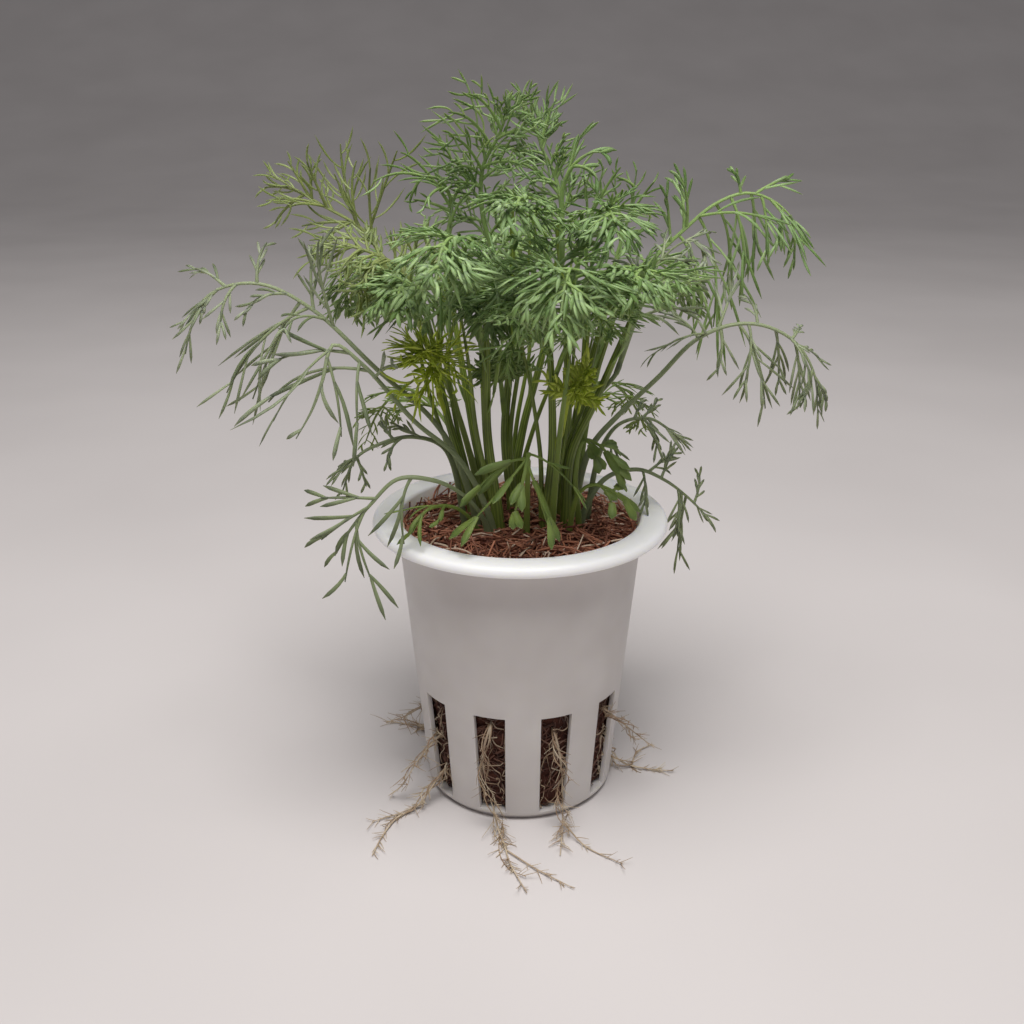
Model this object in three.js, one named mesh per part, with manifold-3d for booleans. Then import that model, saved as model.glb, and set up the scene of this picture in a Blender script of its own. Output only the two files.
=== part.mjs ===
// A bunch of young dill growing in a slotted net pot filled with coconut coir.
// Millimetres, +Z up, origin at the centre of the pot's underside, front towards -Y.
import * as THREE from "three";
import { mergeVertices } from "three/addons/utils/BufferGeometryUtils.js";
import Module from "manifold-3d";

// ---- Driving dimensions --------------------------------------------------------------

const POT_HEIGHT = 61;
const RIM_RADIUS = 30;
const RIM_THICKNESS = 2.3;
const TOP_RADIUS = 25.2; // outside of the wall, just under the rim
const BASE_RADIUS = 19.8; // outside of the wall, at the floor
const WALL = 1;
const FOOT_HEIGHT = 0.9;
const FLOOR_TOP = 2;
const SLOTS = 10;
const SLOT_TOP = 25;
const SLOT_TOP_WIDTH = 6.6;
const SLOT_BOTTOM_WIDTH = 5.6;
const DRAIN_WIDTH = 2.2;
const DRAIN_INNER_RADIUS = 9;
const DRAIN_OUTER_RADIUS = 15.5;
const AROUND = 40; // facets round the pot
const RIM_ROUND = 0.8; // radius of the rolled rim's lower edge
const LEAD_IN = 0.9; // width of the slope from the rim's top into the pot
const SLOT_CUT_INNER = 14; // a slot's cutter runs between these distances from the axis
const SLOT_CUT_OUTER = 28;

const COIR_EDGE = 57.6; // height of the coir at the wall
const COIR_CROWN = 59.4; // height of the coir at the middle
const GAP = 0.35; // air between pieces that touch in the real bunch

const STEM_RADIUS = 1;
const STEM_TIP_RADIUS = 0.6;
const PETIOLE_RADIUS = 0.75;
const LEAF_TIP_RADIUS = 0.3;
const PINNA_RADIUS = 0.4;
const PINNA_TIP_RADIUS = 0.22;
const ROOT_RADIUS = 0.45;
const ROOT_TIP_RADIUS = 0.25;
const ROOT_SIDE_RADIUS = 0.32;

// Sides round, and steps along, each kind of tube.
const STEM_SIDES = 5;
const STEM_STEPS = 6;
const RIB_SIDES = 4;
const LONG_RIB_STEPS = 11;
const SHORT_RIB_STEPS = 6;
const PINNA_SIDES = 3;
const PINNA_STEPS = 2;
const ROOT_SIDES = 4;
const ROOT_STEPS = 10;
const ROOT_BRANCH_SIDES = 3;
const ROOT_BRANCH_STEPS = 4;

// ---- Solids ----------------------------------------------------------------------------

const SAME_VERTEX = 1e-3; // vertices closer together than this are one

const wasm = await Module();
wasm.setup();

function solidOf(geometry) {
  const bare = geometry.clone();
  bare.deleteAttribute("normal");
  bare.deleteAttribute("uv");
  const merged = mergeVertices(bare, SAME_VERTEX);
  return new wasm.Manifold(
    new wasm.Mesh({
      numProp: 3,
      vertProperties: merged.attributes.position.array,
      triVerts: new Uint32Array(merged.index.array),
    }),
  );
}

function boxesMeet(a, b) {
  return [0, 1, 2].every((i) => a.min[i] < b.max[i] && b.min[i] < a.max[i]);
}

function geometryOf(solid) {
  const mesh = solid.getMesh();
  const geometry = new THREE.BufferGeometry();
  geometry.setAttribute("position", new THREE.BufferAttribute(mesh.vertProperties, 3));
  geometry.setIndex(new THREE.BufferAttribute(mesh.triVerts, 1));
  return geometry;
}

const point = ([x, y, z]) => new THREE.Vector3(x, y, z);
const smooth = (points) => new THREE.CatmullRomCurve3(points.map(point), false, "centripetal");

// The point at a share of a curve's length, on the straight facets of a tube of `steps` steps.
function onFacets(curve, share, steps) {
  const whole = Math.min(Math.floor(share * steps), steps - 1);
  const before = curve.getPointAt(whole / steps);
  return before.lerp(curve.getPointAt((whole + 1) / steps), share * steps - whole);
}

// A cylinder bent along a curve, its radius running from the first value to the second, and
// its flat ends pushed out past the curve's by `over`.
function taperedTube(curve, [startRadius, endRadius], sides, steps, over = 0) {
  const tube = new THREE.CylinderGeometry(1, 1, 1, sides, steps);
  const frames = curve.computeFrenetFrames(steps, false);
  const place = tube.attributes.position;
  for (let i = 0; i < place.count; i += 1) {
    const step = Math.round((place.getY(i) + 0.5) * steps);
    const radius = THREE.MathUtils.lerp(startRadius, endRadius, step / steps);
    const moved = curve.getPointAt(step / steps);
    moved.addScaledVector(frames.binormals[step], place.getX(i) * radius);
    moved.addScaledVector(frames.normals[step], place.getZ(i) * radius);
    if (step === 0) moved.addScaledVector(frames.tangents[step], -over);
    if (step === steps) moved.addScaledVector(frames.tangents[step], over);
    place.setXYZ(i, moved.x, moved.y, moved.z);
  }
  return solidOf(tube);
}

// ---- Net pot ---------------------------------------------------------------------------

const wallRadius = (z) => BASE_RADIUS + ((TOP_RADIUS - BASE_RADIUS) * z) / POT_HEIGHT;

// A tapered prism that cuts one slot, pushed out through the wall at the given angle.
function slotCutter(angle) {
  const outline = new THREE.Shape();
  outline.moveTo(-SLOT_BOTTOM_WIDTH / 2, FLOOR_TOP);
  outline.lineTo(SLOT_BOTTOM_WIDTH / 2, FLOOR_TOP);
  outline.lineTo(SLOT_TOP_WIDTH / 2, SLOT_TOP);
  outline.lineTo(-SLOT_TOP_WIDTH / 2, SLOT_TOP);
  const depth = SLOT_CUT_OUTER - SLOT_CUT_INNER;
  const prism = new THREE.ExtrudeGeometry(outline, { depth, bevelEnabled: false });
  prism.rotateX(Math.PI / 2); // the outline's height becomes Z and its depth points to -Y
  prism.translate(0, -SLOT_CUT_INNER, 0);
  prism.rotateZ(angle);
  return solidOf(prism);
}

function drainCutter(angle) {
  const length = DRAIN_OUTER_RADIUS - DRAIN_INNER_RADIUS;
  const box = new THREE.BoxGeometry(DRAIN_WIDTH, length, 3 * FLOOR_TOP);
  box.translate(0, -(DRAIN_INNER_RADIUS + DRAIN_OUTER_RADIUS) / 2, 0);
  box.rotateZ(angle);
  return solidOf(box);
}

function netPot() {
  const rimFoot = POT_HEIGHT - RIM_THICKNESS;
  const inside = (z) => wallRadius(z) - WALL;
  const profile = [
    [0, 0],
    [BASE_RADIUS - 0.9, 0],
    [BASE_RADIUS - 0.8, FOOT_HEIGHT],
    [wallRadius(1.4), 1.4],
    [wallRadius(rimFoot), rimFoot],
    [RIM_RADIUS - RIM_ROUND, rimFoot],
    [RIM_RADIUS, rimFoot + RIM_ROUND],
    [RIM_RADIUS - 0.3, rimFoot + 1.7],
    [RIM_RADIUS - 1.1, POT_HEIGHT - 0.2],
    [RIM_RADIUS - 2.8, POT_HEIGHT],
    [inside(POT_HEIGHT) + LEAD_IN, POT_HEIGHT - 0.1],
    [inside(POT_HEIGHT) + 0.2, POT_HEIGHT - 0.6],
    [inside(POT_HEIGHT - 2), POT_HEIGHT - 2],
    [inside(FLOOR_TOP + 0.6), FLOOR_TOP + 0.6],
    [inside(FLOOR_TOP) - 0.5, FLOOR_TOP],
    [0, FLOOR_TOP],
  ];
  const turned = new THREE.LatheGeometry(
    profile.map(([r, z]) => new THREE.Vector2(r, z)),
    AROUND,
  );
  turned.rotateX(Math.PI / 2);
  let pot = solidOf(turned);
  for (let i = 0; i < SLOTS; i += 1) {
    const rib = (i * 2 * Math.PI) / SLOTS;
    pot = pot.subtract(slotCutter(rib + Math.PI / SLOTS));
    pot = pot.subtract(drainCutter(rib));
  }
  return pot;
}

// ---- Coir plug -------------------------------------------------------------------------

function coirPlug() {
  const inside = (z) => wallRadius(z) - WALL - GAP;
  const profile = [
    [0, FLOOR_TOP + GAP],
    [inside(FLOOR_TOP) - 1.2, FLOOR_TOP + GAP],
    [inside(FLOOR_TOP + 1.5), FLOOR_TOP + 1.5],
    [inside(COIR_EDGE - 1), COIR_EDGE - 1],
    [inside(COIR_EDGE) - 1, COIR_EDGE],
    [17, COIR_EDGE + 0.9],
    [9, COIR_CROWN - 0.3],
    [0, COIR_CROWN],
  ];
  const turned = new THREE.LatheGeometry(
    profile.map(([r, z]) => new THREE.Vector2(r, z)),
    AROUND / 2,
  );
  turned.rotateX(Math.PI / 2);
  return solidOf(turned);
}

// ---- Seedling stems --------------------------------------------------------------------

// Points from inside the coir to the growing tip.
const STEMS = {
  stem_left: [[-9, -1, 50], [-9.5, -1, 62], [-14.5, -1, 82], [-16, 0, 92], [-14, 1, 108]],
  stem_front_left: [[-4, -6, 50], [-4.5, -6, 62], [-6.5, -7, 80], [-6.5, -8, 94], [-7, -9, 108]],
  stem_middle: [[-1, 2, 50], [-1.5, 2, 62], [-3, 2, 76], [-1.5, 3, 97], [-1.5, 5, 120]],
  stem_front: [[5, -6, 50], [5, -6, 62], [6, -7, 76], [5, -9, 98], [3.5, -10, 108]],
  stem_right_middle: [[7.5, 1, 50], [8, 1, 62], [9.5, 1, 80], [9, 2, 97], [7, 4, 118]],
  stem_right_leaning: [[9, -5.5, 50], [9, -5.5, 62], [9.8, -6, 75], [14, -8, 86], [21, -13, 106]],
  stem_right: [[10, 5, 50], [10.5, 5, 62], [11.5, 5, 78], [14.5, 6, 91], [18, 8, 104]],
  stem_back_left: [[-7, 8, 50], [-7, 8, 62], [-9.5, 9, 76], [-11.5, 12, 88], [-14, 15, 104]],
  stem_back: [[0, 10, 50], [-1, 10, 62], [1, 12, 75], [5.5, 15, 92], [8, 18, 109]],
};

// ---- Leaves ----------------------------------------------------------------------------

// Each leaf is a petiole that runs on as the midrib of its blade, through the points of `rib`.
// It rises from inside the coir, or beside a stem at the height that `on` gives. Its side
// branches either end at the points of `tips`, after the share of the midrib where each one
// starts, or follow `blade`: the share where they begin, the pairs, and the longest one.
const LEAVES = {
  leaf_left_arch: {
    rib: [[-8, -5, 50], [-9, -6, 62], [-13, -8, 76], [-17, -9, 83], [-27, -10, 93],
      [-38, -10, 104], [-47, -11, 109], [-55, -11, 108], [-62, -11, 102]],
    tips: [[0.65, -36, -12, 117], [0.7, -38, -6, 114], [0.71, -54, -15, 90],
      [0.73, -50, -12, 88], [0.76, -50, -14, 104], [0.82, -46, -8, 116], [0.86, -54, -15, 102],
      [0.9, -58, -12, 104], [0.92, -61, -14, 97]],
    tone: "grey",
  },
  leaf_left_low: {
    rib: [[-5, -8, 50], [-6, -9, 62], [-12, -12, 76], [-20, -14, 84], [-29, -15, 95],
      [-34, -16, 99], [-36, -19, 93], [-38, -20, 88], [-41, -21, 83]],
    tips: [[0.64, -23, -20, 96], [0.66, -46, -18, 89], [0.69, -30, -20, 84],
      [0.72, -45, -17, 96], [0.78, -45, -20, 86], [0.8, -33, -20, 83]],
    tone: "grey",
  },
  leaf_left_fan: {
    rib: [[-7, 3, 50], [-8, 3, 62], [-13, 5, 82], [-19, 7, 96], [-25, 8, 107], [-30, 8, 116],
      [-38, 8, 121], [-48, 8, 127]],
    tips: [[0.74, -28, 5, 128], [0.76, -23, 6, 131], [0.79, -31, 9, 129], [0.79, -34, 10, 132],
      [0.8, -42, 8, 117], [0.86, -40, 6, 129], [0.87, -48, 5, 122], [0.9, -44, 9, 129],
      [0.92, -49, 10, 124]],
    arch: 0.04,
    tone: "yellow",
  },
  leaf_left_spray: {
    on: ["stem_left", 97],
    rib: [[-19, -3, 105], [-23, -4, 111], [-28, -6, 114], [-35, -7, 116]],
    blade: [0.3, 4, 14], face: [0, -0.6, 0.8],
    tone: "yellow",
  },
  leaf_front_tuft: {
    on: ["stem_left", 86],
    rib: [[-16.5, -6, 92], [-17.5, -11, 96], [-18, -16, 98]],
    blade: [0.3, 5, 12], face: [0, -0.6, 0.8],
    tone: "newGrowth",
  },
  leaf_right_tuft: {
    on: ["stem_front", 80],
    rib: [[9, -10, 88], [10.5, -12.5, 91.5], [12, -14.5, 94.5]],
    blade: [0.4, 3, 7], face: [0, -0.6, 0.8],
    tone: "newGrowth",
  },
  leaf_front_arch: {
    rib: [[5.5, -9.5, 50], [6, -9.5, 62], [7, -12, 80], [8.5, -16, 98], [8.5, -22, 110],
      [7.5, -27, 114], [6, -33, 112], [5, -37, 106]],
    blade: [0.6, 6, 16], face: [0, -0.3, 1],
  },
  leaf_front_right: {
    on: ["stem_right_leaning", 98],
    rib: [[20, -18, 108], [20, -23, 113], [18, -29, 113], [15, -34, 109]],
    blade: [0.25, 4, 12], face: [0, -0.3, 1],
  },
  leaf_front_left: {
    on: ["stem_front_left", 96],
    rib: [[-9, -13, 112], [-12, -19, 118], [-14, -26, 117], [-15, -31, 112]],
    blade: [0.3, 4, 14], face: [0, -0.3, 1],
  },
  leaf_front_top: {
    on: ["stem_front", 98],
    rib: [[3, -14, 114], [1, -18, 122], [-1, -24, 125], [-2, -30, 121]],
    blade: [0.25, 4, 13], face: [0, -0.3, 1],
  },
  leaf_front_high: {
    on: ["stem_right_middle", 104],
    rib: [[10, -3, 114], [13, -8, 120], [15, -15, 122], [16, -22, 118]],
    blade: [0.3, 4, 13], face: [0, -0.3, 1],
  },
  leaf_right_high: {
    rib: [[10.5, 1.5, 50], [11.5, 1.5, 62], [14, 3, 82], [19, 6, 100], [26, 8, 110],
      [32, 8, 116], [38, 8, 121], [44, 8, 123], [50, 8, 121], [56, 8, 115]],
    tips: [[0.68, 28, 6, 123], [0.7, 36, 5, 100], [0.72, 30, 6, 127], [0.75, 39, 8, 97],
      [0.79, 42, 12, 104], [0.82, 44, 6, 107], [0.84, 41, 9, 127], [0.86, 47, 11, 110],
      [0.88, 48, 6, 111], [0.93, 50, 6, 113], [0.95, 55, 11, 109]],
  },
  leaf_right_arch: {
    rib: [[10, -2, 50], [11, -2, 62], [14, -2, 75], [20, -1, 82], [27, -1, 89], [34, 0, 96],
      [41, 0, 99], [47, -1, 99], [53, -2, 96], [57, -3, 90], [58.5, -3, 82]],
    tips: [[0.61, 27, 3, 101], [0.63, 25, -4, 94], [0.66, 38, -3, 90], [0.7, 48, -3, 83],
      [0.72, 43, -5, 88], [0.74, 44, 3, 104], [0.78, 51, 0, 87], [0.82, 55, 3, 98],
      [0.83, 54, -5, 85], [0.84, 60, 2, 91], [0.9, 54, -6, 84], [0.92, 60, -3, 84]],
    tone: "grey",
  },
  leaf_rim_left: {
    rib: [[-6, -10, 50], [-7, -11, 62], [-11, -16, 70], [-17, -21, 75], [-23, -22, 75.5],
      [-28, -23, 71], [-32, -23, 66], [-35, -23, 61]],
    tips: [[0.62, -22, -25, 64], [0.76, -37, -22, 72], [0.8, -37, -25, 65],
      [0.82, -33, -26, 57], [0.86, -28, -26, 57]],
    tone: "grey",
  },
  leaf_rim_front: {
    rib: [[-8, -8, 50], [-8.5, -9, 60], [-13, -14, 67], [-18, -18, 68], [-21, -20, 64]],
    tips: [[0.7, -16, -20, 66], [0.75, -23, -16, 67]],
  },
  leaf_left_small: {
    rib: [[-11, -3.6, 50], [-11.6, -3.6, 62], [-15, -5, 76], [-21, -7, 79], [-27, -8, 78],
      [-32, -8, 75], [-35, -9, 68]],
    tips: [[0.6, -24, -9, 82], [0.7, -27, -6, 82], [0.8, -36, -12, 72], [0.85, -30, -10, 70]],
    tone: "grey",
  },
  leaf_front_droop: {
    rib: [[1, -9, 50], [1, -10, 62], [1, -14, 74], [1, -18, 79], [0, -22, 76], [-2, -25, 69]],
    tips: [[0.64, -9, -20, 72], [0.68, 10, -20, 72], [0.74, -10, -23, 67], [0.76, 5, -24, 67]],
  },
  leaf_rim_right: {
    rib: [[9, -9, 50], [9.5, -9.5, 61], [11, -12, 69], [13.5, -13, 71], [17, -13.5, 70],
      [20, -13.5, 67.5]],
    tips: [[0.8, 17, -16.5, 68], [0.88, 19.5, -11, 70]],
  },
  leaf_right_low: {
    rib: [[11, -6, 50], [11.5, -6.5, 61], [10.5, -9, 72], [12, -10, 79], [15, -11, 78],
      [18, -11.5, 74]],
    tips: [[0.78, 14, -13, 76], [0.86, 18, -9, 77]],
  },
  leaf_right_small: {
    rib: [[13.5, -0.5, 50], [14, -0.5, 62], [16.5, 1, 74], [20, 1, 79], [26, 1, 80],
      [32, 1, 76]],
    tips: [[0.6, 20, -3, 71], [0.8, 27, -3, 75], [0.8, 28, 5, 83], [0.9, 33, 4, 74]],
    tone: "grey",
  },
  leaf_rim_right_hanging: {
    rib: [[12, -3.5, 50], [12.6, -3.5, 61], [17, -1, 68], [24, 2, 69], [30, 4, 66], [35, 5, 62],
      [40, 5, 57]],
    tips: [[0.6, 25, -3, 63], [0.7, 32, 8, 72], [0.8, 32, 2, 54], [0.85, 34, 7, 48],
      [0.9, 38, 8, 66]],
    tone: "grey",
  },
  leaf_top_left: {
    on: ["stem_middle", 108],
    rib: [[-7, 4, 119], [-7, 3, 128], [-4, 1, 134], [-2, -1, 139]],
    tips: [[0.42, -14, 2, 127], [0.5, -15, -1, 131], [0.6, -13, -4, 134], [0.62, 0, -4, 129],
      [0.74, -13, -5, 138], [0.8, 3, -4, 135], [0.86, -10, -5, 141], [0.92, 2, -2, 141]],
  },
  leaf_top_middle: {
    on: ["stem_right_middle", 108],
    rib: [[8, 7, 121], [6.5, 8, 127], [4, 8.5, 132], [3.5, 9, 137]],
    tips: [[0.3, -2, 6, 122], [0.35, 12, 8, 127], [0.5, -4, 7, 129], [0.6, 10.5, 9, 131],
      [0.8, 7.5, 12, 136], [0.82, 7, 9, 140], [0.86, 0, 8, 140]],
  },
  leaf_top_right: {
    on: ["stem_right_middle", 114],
    rib: [[8, 1, 125], [10, 0, 129], [13, -1, 131], [15, -2, 131]],
    tips: [[0.55, 11, 1, 134], [0.7, 14, -4, 126]],
  },
  leaf_high_right: {
    on: ["stem_right_middle", 96],
    rib: [[11, 5, 108], [14, 7, 119], [16, 7, 128]],
    tips: [[0.5, 17, 2, 117], [0.62, 12, 4, 126], [0.75, 19, 5, 128]],
  },
  leaf_right_upright: {
    on: ["stem_right", 92],
    rib: [[19, 12, 108], [22, 13, 119], [23, 12, 127]],
    tips: [[0.5, 26, 10, 117], [0.62, 18, 11, 125], [0.75, 26, 9, 125]],
  },
  leaf_high_left: {
    on: ["stem_left", 102],
    rib: [[-14, 3, 114], [-13, 3, 122], [-15, 2, 126], [-20, 0, 127]],
    tips: [[0.5, -9, 0, 124], [0.62, -22, 0, 131], [0.72, -27, -3, 126], [0.75, -18, -3, 121]],
  },
  leaf_back_arch: {
    on: ["stem_back", 84],
    rib: [[1, 24, 104], [-1, 34, 112], [-3, 44, 108], [-4, 51, 98]],
    blade: [0.35, 4, 14], face: [0, 0.3, 1],
  },
  leaf_back_left: {
    on: ["stem_back_left", 84],
    rib: [[-18, 20, 101], [-27, 29, 107], [-35, 37, 102], [-40, 42, 94]],
    blade: [0.4, 4, 13], face: [0, 0.3, 1],
  },
  leaf_back_right: {
    on: ["stem_right", 80],
    rib: [[19, 14, 98], [27, 24, 107], [34, 33, 104], [39, 39, 95]],
    blade: [0.4, 4, 13], face: [0, 0.3, 1],
  },
  leaf_back_left_low: {
    rib: [[-9, 9, 50], [-9.5, 9.5, 62], [-16, 17, 76], [-24, 26, 80], [-31, 33, 73],
      [-35, 37, 64]],
    blade: [0.5, 3, 10], face: [0, 0.3, 1],
  },
  leaf_back_right_low: {
    rib: [[7, 8, 50], [7.5, 8.5, 62], [13, 17, 77], [20, 27, 81], [27, 35, 74], [31, 39, 66]],
    blade: [0.5, 3, 10], face: [0, 0.3, 1],
  },
  leaf_back_upright: {
    on: ["stem_back", 98],
    rib: [[6, 24, 112], [6, 28, 121], [5, 30, 126]],
    blade: [0.35, 3, 10], face: [0, 1, 0.2],
  },
  leaf_back_high: {
    on: ["stem_back_left", 94],
    rib: [[-17, 18, 108], [-19, 22, 115], [-19, 27, 117]],
    blade: [0.35, 3, 10], face: [0, 1, 0.2],
  },
  leaf_middle_left: {
    on: ["stem_left", 94],
    rib: [[-15.5, -6, 103], [-18, -11, 108], [-22, -15, 109], [-26, -17, 106]],
    blade: [0.3, 4, 14], face: [0, -0.3, 1],
  },
  leaf_middle_high: {
    on: ["stem_middle", 92],
    rib: [[0, -1, 101], [-2, -6, 106], [-4, -13, 107], [-7, -18, 103]],
    blade: [0.3, 4, 14], face: [0, -0.3, 1],
  },
  leaf_middle_low: {
    on: ["stem_front_left", 88],
    rib: [[-3, -13, 102], [-1, -19, 107], [0, -25, 107], [0, -30, 103]],
    blade: [0.3, 4, 12], face: [0, -0.3, 1],
  },
  leaf_middle_tuft: {
    on: ["stem_middle", 84],
    rib: [[-4, -1.5, 90], [-4, -4, 94]],
    blade: [0.4, 3, 8], face: [0, -0.6, 0.8],
  },
  leaf_middle_right: {
    on: ["stem_front", 92],
    rib: [[8.5, -15, 99], [11, -19, 104], [13, -24, 105.5], [15, -28, 103]],
    blade: [0.3, 4, 12], face: [0, -0.3, 1],
  },
  leaf_right_middle: {
    on: ["stem_right_leaning", 92],
    rib: [[22, -6, 103], [26, -4, 112], [31, -7, 116], [34, -11, 113]],
    blade: [0.3, 4, 13], face: [0, -0.3, 1],
    tone: "grey",
  },
};
const PINNA_ANGLE = THREE.MathUtils.degToRad(58); // between a side branch and the midrib
const BLADE_END = 0.96; // share of the midrib where side branches stop
const BLADE_TAPER = 0.65; // how much shorter the last pair is than the first
const ARCH = 0.16; // rise of a side branch's middle, as a share of its length
const DROOP = 0.22; // fall of a ruled side branch's tip, as a share of its length
const STEM_SAMPLES = 60; // points along a stem that a leaf's start is chosen from

// Where a leaf that grows beside a stem starts: a hair clear of the stem, on the leaf's side.
function startBeside([stemName, height], toward) {
  const stem = smooth(STEMS[stemName]);
  const samples = stem.getSpacedPoints(STEM_SAMPLES);
  const nearest = samples.reduce((best, p) =>
    Math.abs(p.z - height) < Math.abs(best.z - height) ? p : best,
  );
  const aside = toward.clone().sub(nearest).setZ(0).normalize();
  return nearest.addScaledVector(aside, STEM_RADIUS + GAP + PETIOLE_RADIUS);
}

function ribCurve(leaf) {
  if (!leaf.on) return smooth(leaf.rib);
  const start = startBeside(leaf.on, point(leaf.rib[0]));
  return smooth([start.toArray(), ...leaf.rib]);
}

const ribSteps = (leaf) => (leaf.rib.length > 4 ? LONG_RIB_STEPS : SHORT_RIB_STEPS);

// The start and the tip of each side branch of a leaf.
function branchEnds(leaf, rib) {
  const startAt = (share) => onFacets(rib, share, ribSteps(leaf));
  if (leaf.tips) {
    return leaf.tips.map(([share, ...tip]) => ({ start: startAt(share), tip: point(tip) }));
  }
  const [from, pairs, reach] = leaf.blade;
  const branches = [];
  for (let i = 0; i < pairs; i += 1) {
    const along = i / pairs;
    const share = from + (BLADE_END - from) * along;
    const forward = rib.getTangentAt(share);
    const aside = forward.clone().cross(point(leaf.face)).normalize();
    const length = reach * (1 - BLADE_TAPER * along);
    for (const side of [-1, 1]) {
      const tip = startAt(share);
      tip.addScaledVector(aside, side * length * Math.sin(PINNA_ANGLE));
      tip.addScaledVector(forward, length * Math.cos(PINNA_ANGLE));
      tip.z -= DROOP * length;
      branches.push({ start: startAt(share), tip });
    }
  }
  return branches;
}

function branchCurve({ start, tip }, arch = ARCH) {
  const middle = start.clone().lerp(tip, 0.5);
  middle.z += arch * start.distanceTo(tip);
  return new THREE.QuadraticBezierCurve3(start, middle, tip);
}

// ---- Roots -----------------------------------------------------------------------------

// Strands from inside the coir, out through a slot and down to the surface, each with the
// side strands that leave it at a share of its length.
const ROOTS = {
  root_front_left: {
    strand: [[-5, -15, 24], [-6.6, -20.4, 22.5], [-8, -23, 18.5], [-7.6, -22.8, 12],
      [-6, -22.8, 5], [-5, -24.5, 1.2], [-4, -28, 0.6], [-3, -34, 0.55], [0, -43, 0.5]],
    sides: [[0.72, [2, -36, 0.5], [9, -42, 0.45]]],
  },
  root_front_right: {
    strand: [[5, -15, 22], [6.6, -20.4, 20], [7.6, -22.6, 15], [8, -22.6, 6],
      [8, -24, 1.2], [7.5, -28, 0.6], [7, -32, 0.5]],
    sides: [[0.72, [12, -29, 0.5], [19, -35, 0.45]]],
  },
  root_left: {
    strand: [[-12, -8.7, 10], [-16.6, -12.1, 7], [-20, -14.5, 3], [-22, -15.5, 0.9],
      [-26, -19, 0.55], [-28.5, -25, 0.5], [-30, -31, 0.45]],
    sides: [[0.55, [-27, -18, 0.5], [-31, -20, 0.45]]],
  },
  root_left_hanging: {
    strand: [[-12.4, -8, 18], [-17.4, -11.4, 15], [-22, -13, 10], [-25, -12, 4],
      [-28, -11, 0.8]],
    sides: [],
  },
  root_left_fine: {
    strand: [[-14, 0, 17], [-20.5, 0, 16], [-25, -1, 14], [-29, -2, 13]],
    sides: [],
  },
  root_right: {
    strand: [[12, -8.7, 23], [17.6, -12.8, 21.5], [22, -13.5, 18], [28, -12, 12]],
    sides: [],
  },
  root_right_low: {
    strand: [[13, 0, 7], [19.6, 0, 4.6], [23, -0.5, 1.2], [28, -2, 0.5], [34, -3, 0.45]],
    sides: [[0.6, [27, 5, 0.5], [31, 8, 0.45]]],
  },
  root_back: {
    strand: [[4.6, 14, 9], [6.3, 19.4, 7], [8, 23.5, 2], [10, 28, 0.6], [9, 35, 0.45]],
    sides: [[0.6, [14, 28, 0.5], [18, 31, 0.45]]],
  },
  root_back_left: {
    strand: [[-11.3, 8.2, 10], [-16, 11.6, 7], [-20, 15, 2], [-25, 18, 0.55], [-31, 20, 0.45]],
    sides: [],
  },
};

// ---- Building the bunch --------------------------------------------------------------------

const parts = new THREE.Group();
const POT_PLASTIC = new THREE.MeshStandardMaterial({ color: "#eceae6", roughness: 0.45 });
const COIR = new THREE.MeshStandardMaterial({ color: "#6b3a24", roughness: 0.95 });
const STEM_GREEN = new THREE.MeshStandardMaterial({ color: "#597331", roughness: 0.55 });
const ROOT_TAN = new THREE.MeshStandardMaterial({ color: "#bca287", roughness: 0.85 });
const LEAF_TONES = {
  green: new THREE.MeshStandardMaterial({ color: "#618749", roughness: 0.6 }),
  grey: new THREE.MeshStandardMaterial({ color: "#657350", roughness: 0.6 }),
  yellow: new THREE.MeshStandardMaterial({ color: "#7c8e55", roughness: 0.6 }),
  newGrowth: new THREE.MeshStandardMaterial({ color: "#6c8127", roughness: 0.6 }),
};

function addPart(name, solid, material) {
  const mesh = new THREE.Mesh(geometryOf(solid), material);
  mesh.name = name;
  parts.add(mesh);
}

// Everything that grows: its own solid, and a sleeve GAP wider that its socket is cut with.
const growing = [];

function grow(name, curve, [startRadius, endRadius], sides, steps, material) {
  const wide = [startRadius + GAP, endRadius + GAP];
  growing.push({
    name,
    material,
    solid: taperedTube(curve, [startRadius, endRadius], sides, steps),
    sleeve: taperedTube(curve, wide, sides, steps, GAP),
  });
  return growing[growing.length - 1];
}

for (const [name, points] of Object.entries(STEMS)) {
  const radii = [STEM_RADIUS, STEM_TIP_RADIUS];
  grow(name, smooth(points), radii, STEM_SIDES, STEM_STEPS, STEM_GREEN);
}
const ribs = {};
for (const [name, leaf] of Object.entries(LEAVES)) {
  ribs[name] = ribCurve(leaf);
  const radii = [PETIOLE_RADIUS, LEAF_TIP_RADIUS];
  grow(name, ribs[name], radii, RIB_SIDES, ribSteps(leaf), LEAF_TONES[leaf.tone ?? "green"]);
}
for (const [name, root] of Object.entries(ROOTS)) {
  const strand = smooth(root.strand);
  const radii = [ROOT_RADIUS, ROOT_TIP_RADIUS];
  const made = grow(name, strand, radii, ROOT_SIDES, ROOT_STEPS, ROOT_TAN);
  for (const [share, ...points] of root.sides) {
    const side = smooth([onFacets(strand, share, ROOT_STEPS).toArray(), ...points]);
    const sideRadii = [ROOT_SIDE_RADIUS, ROOT_TIP_RADIUS];
    const tube = taperedTube(side, sideRadii, ROOT_BRANCH_SIDES, ROOT_BRANCH_STEPS);
    made.solid = made.solid.add(tube);
  }
}

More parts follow.
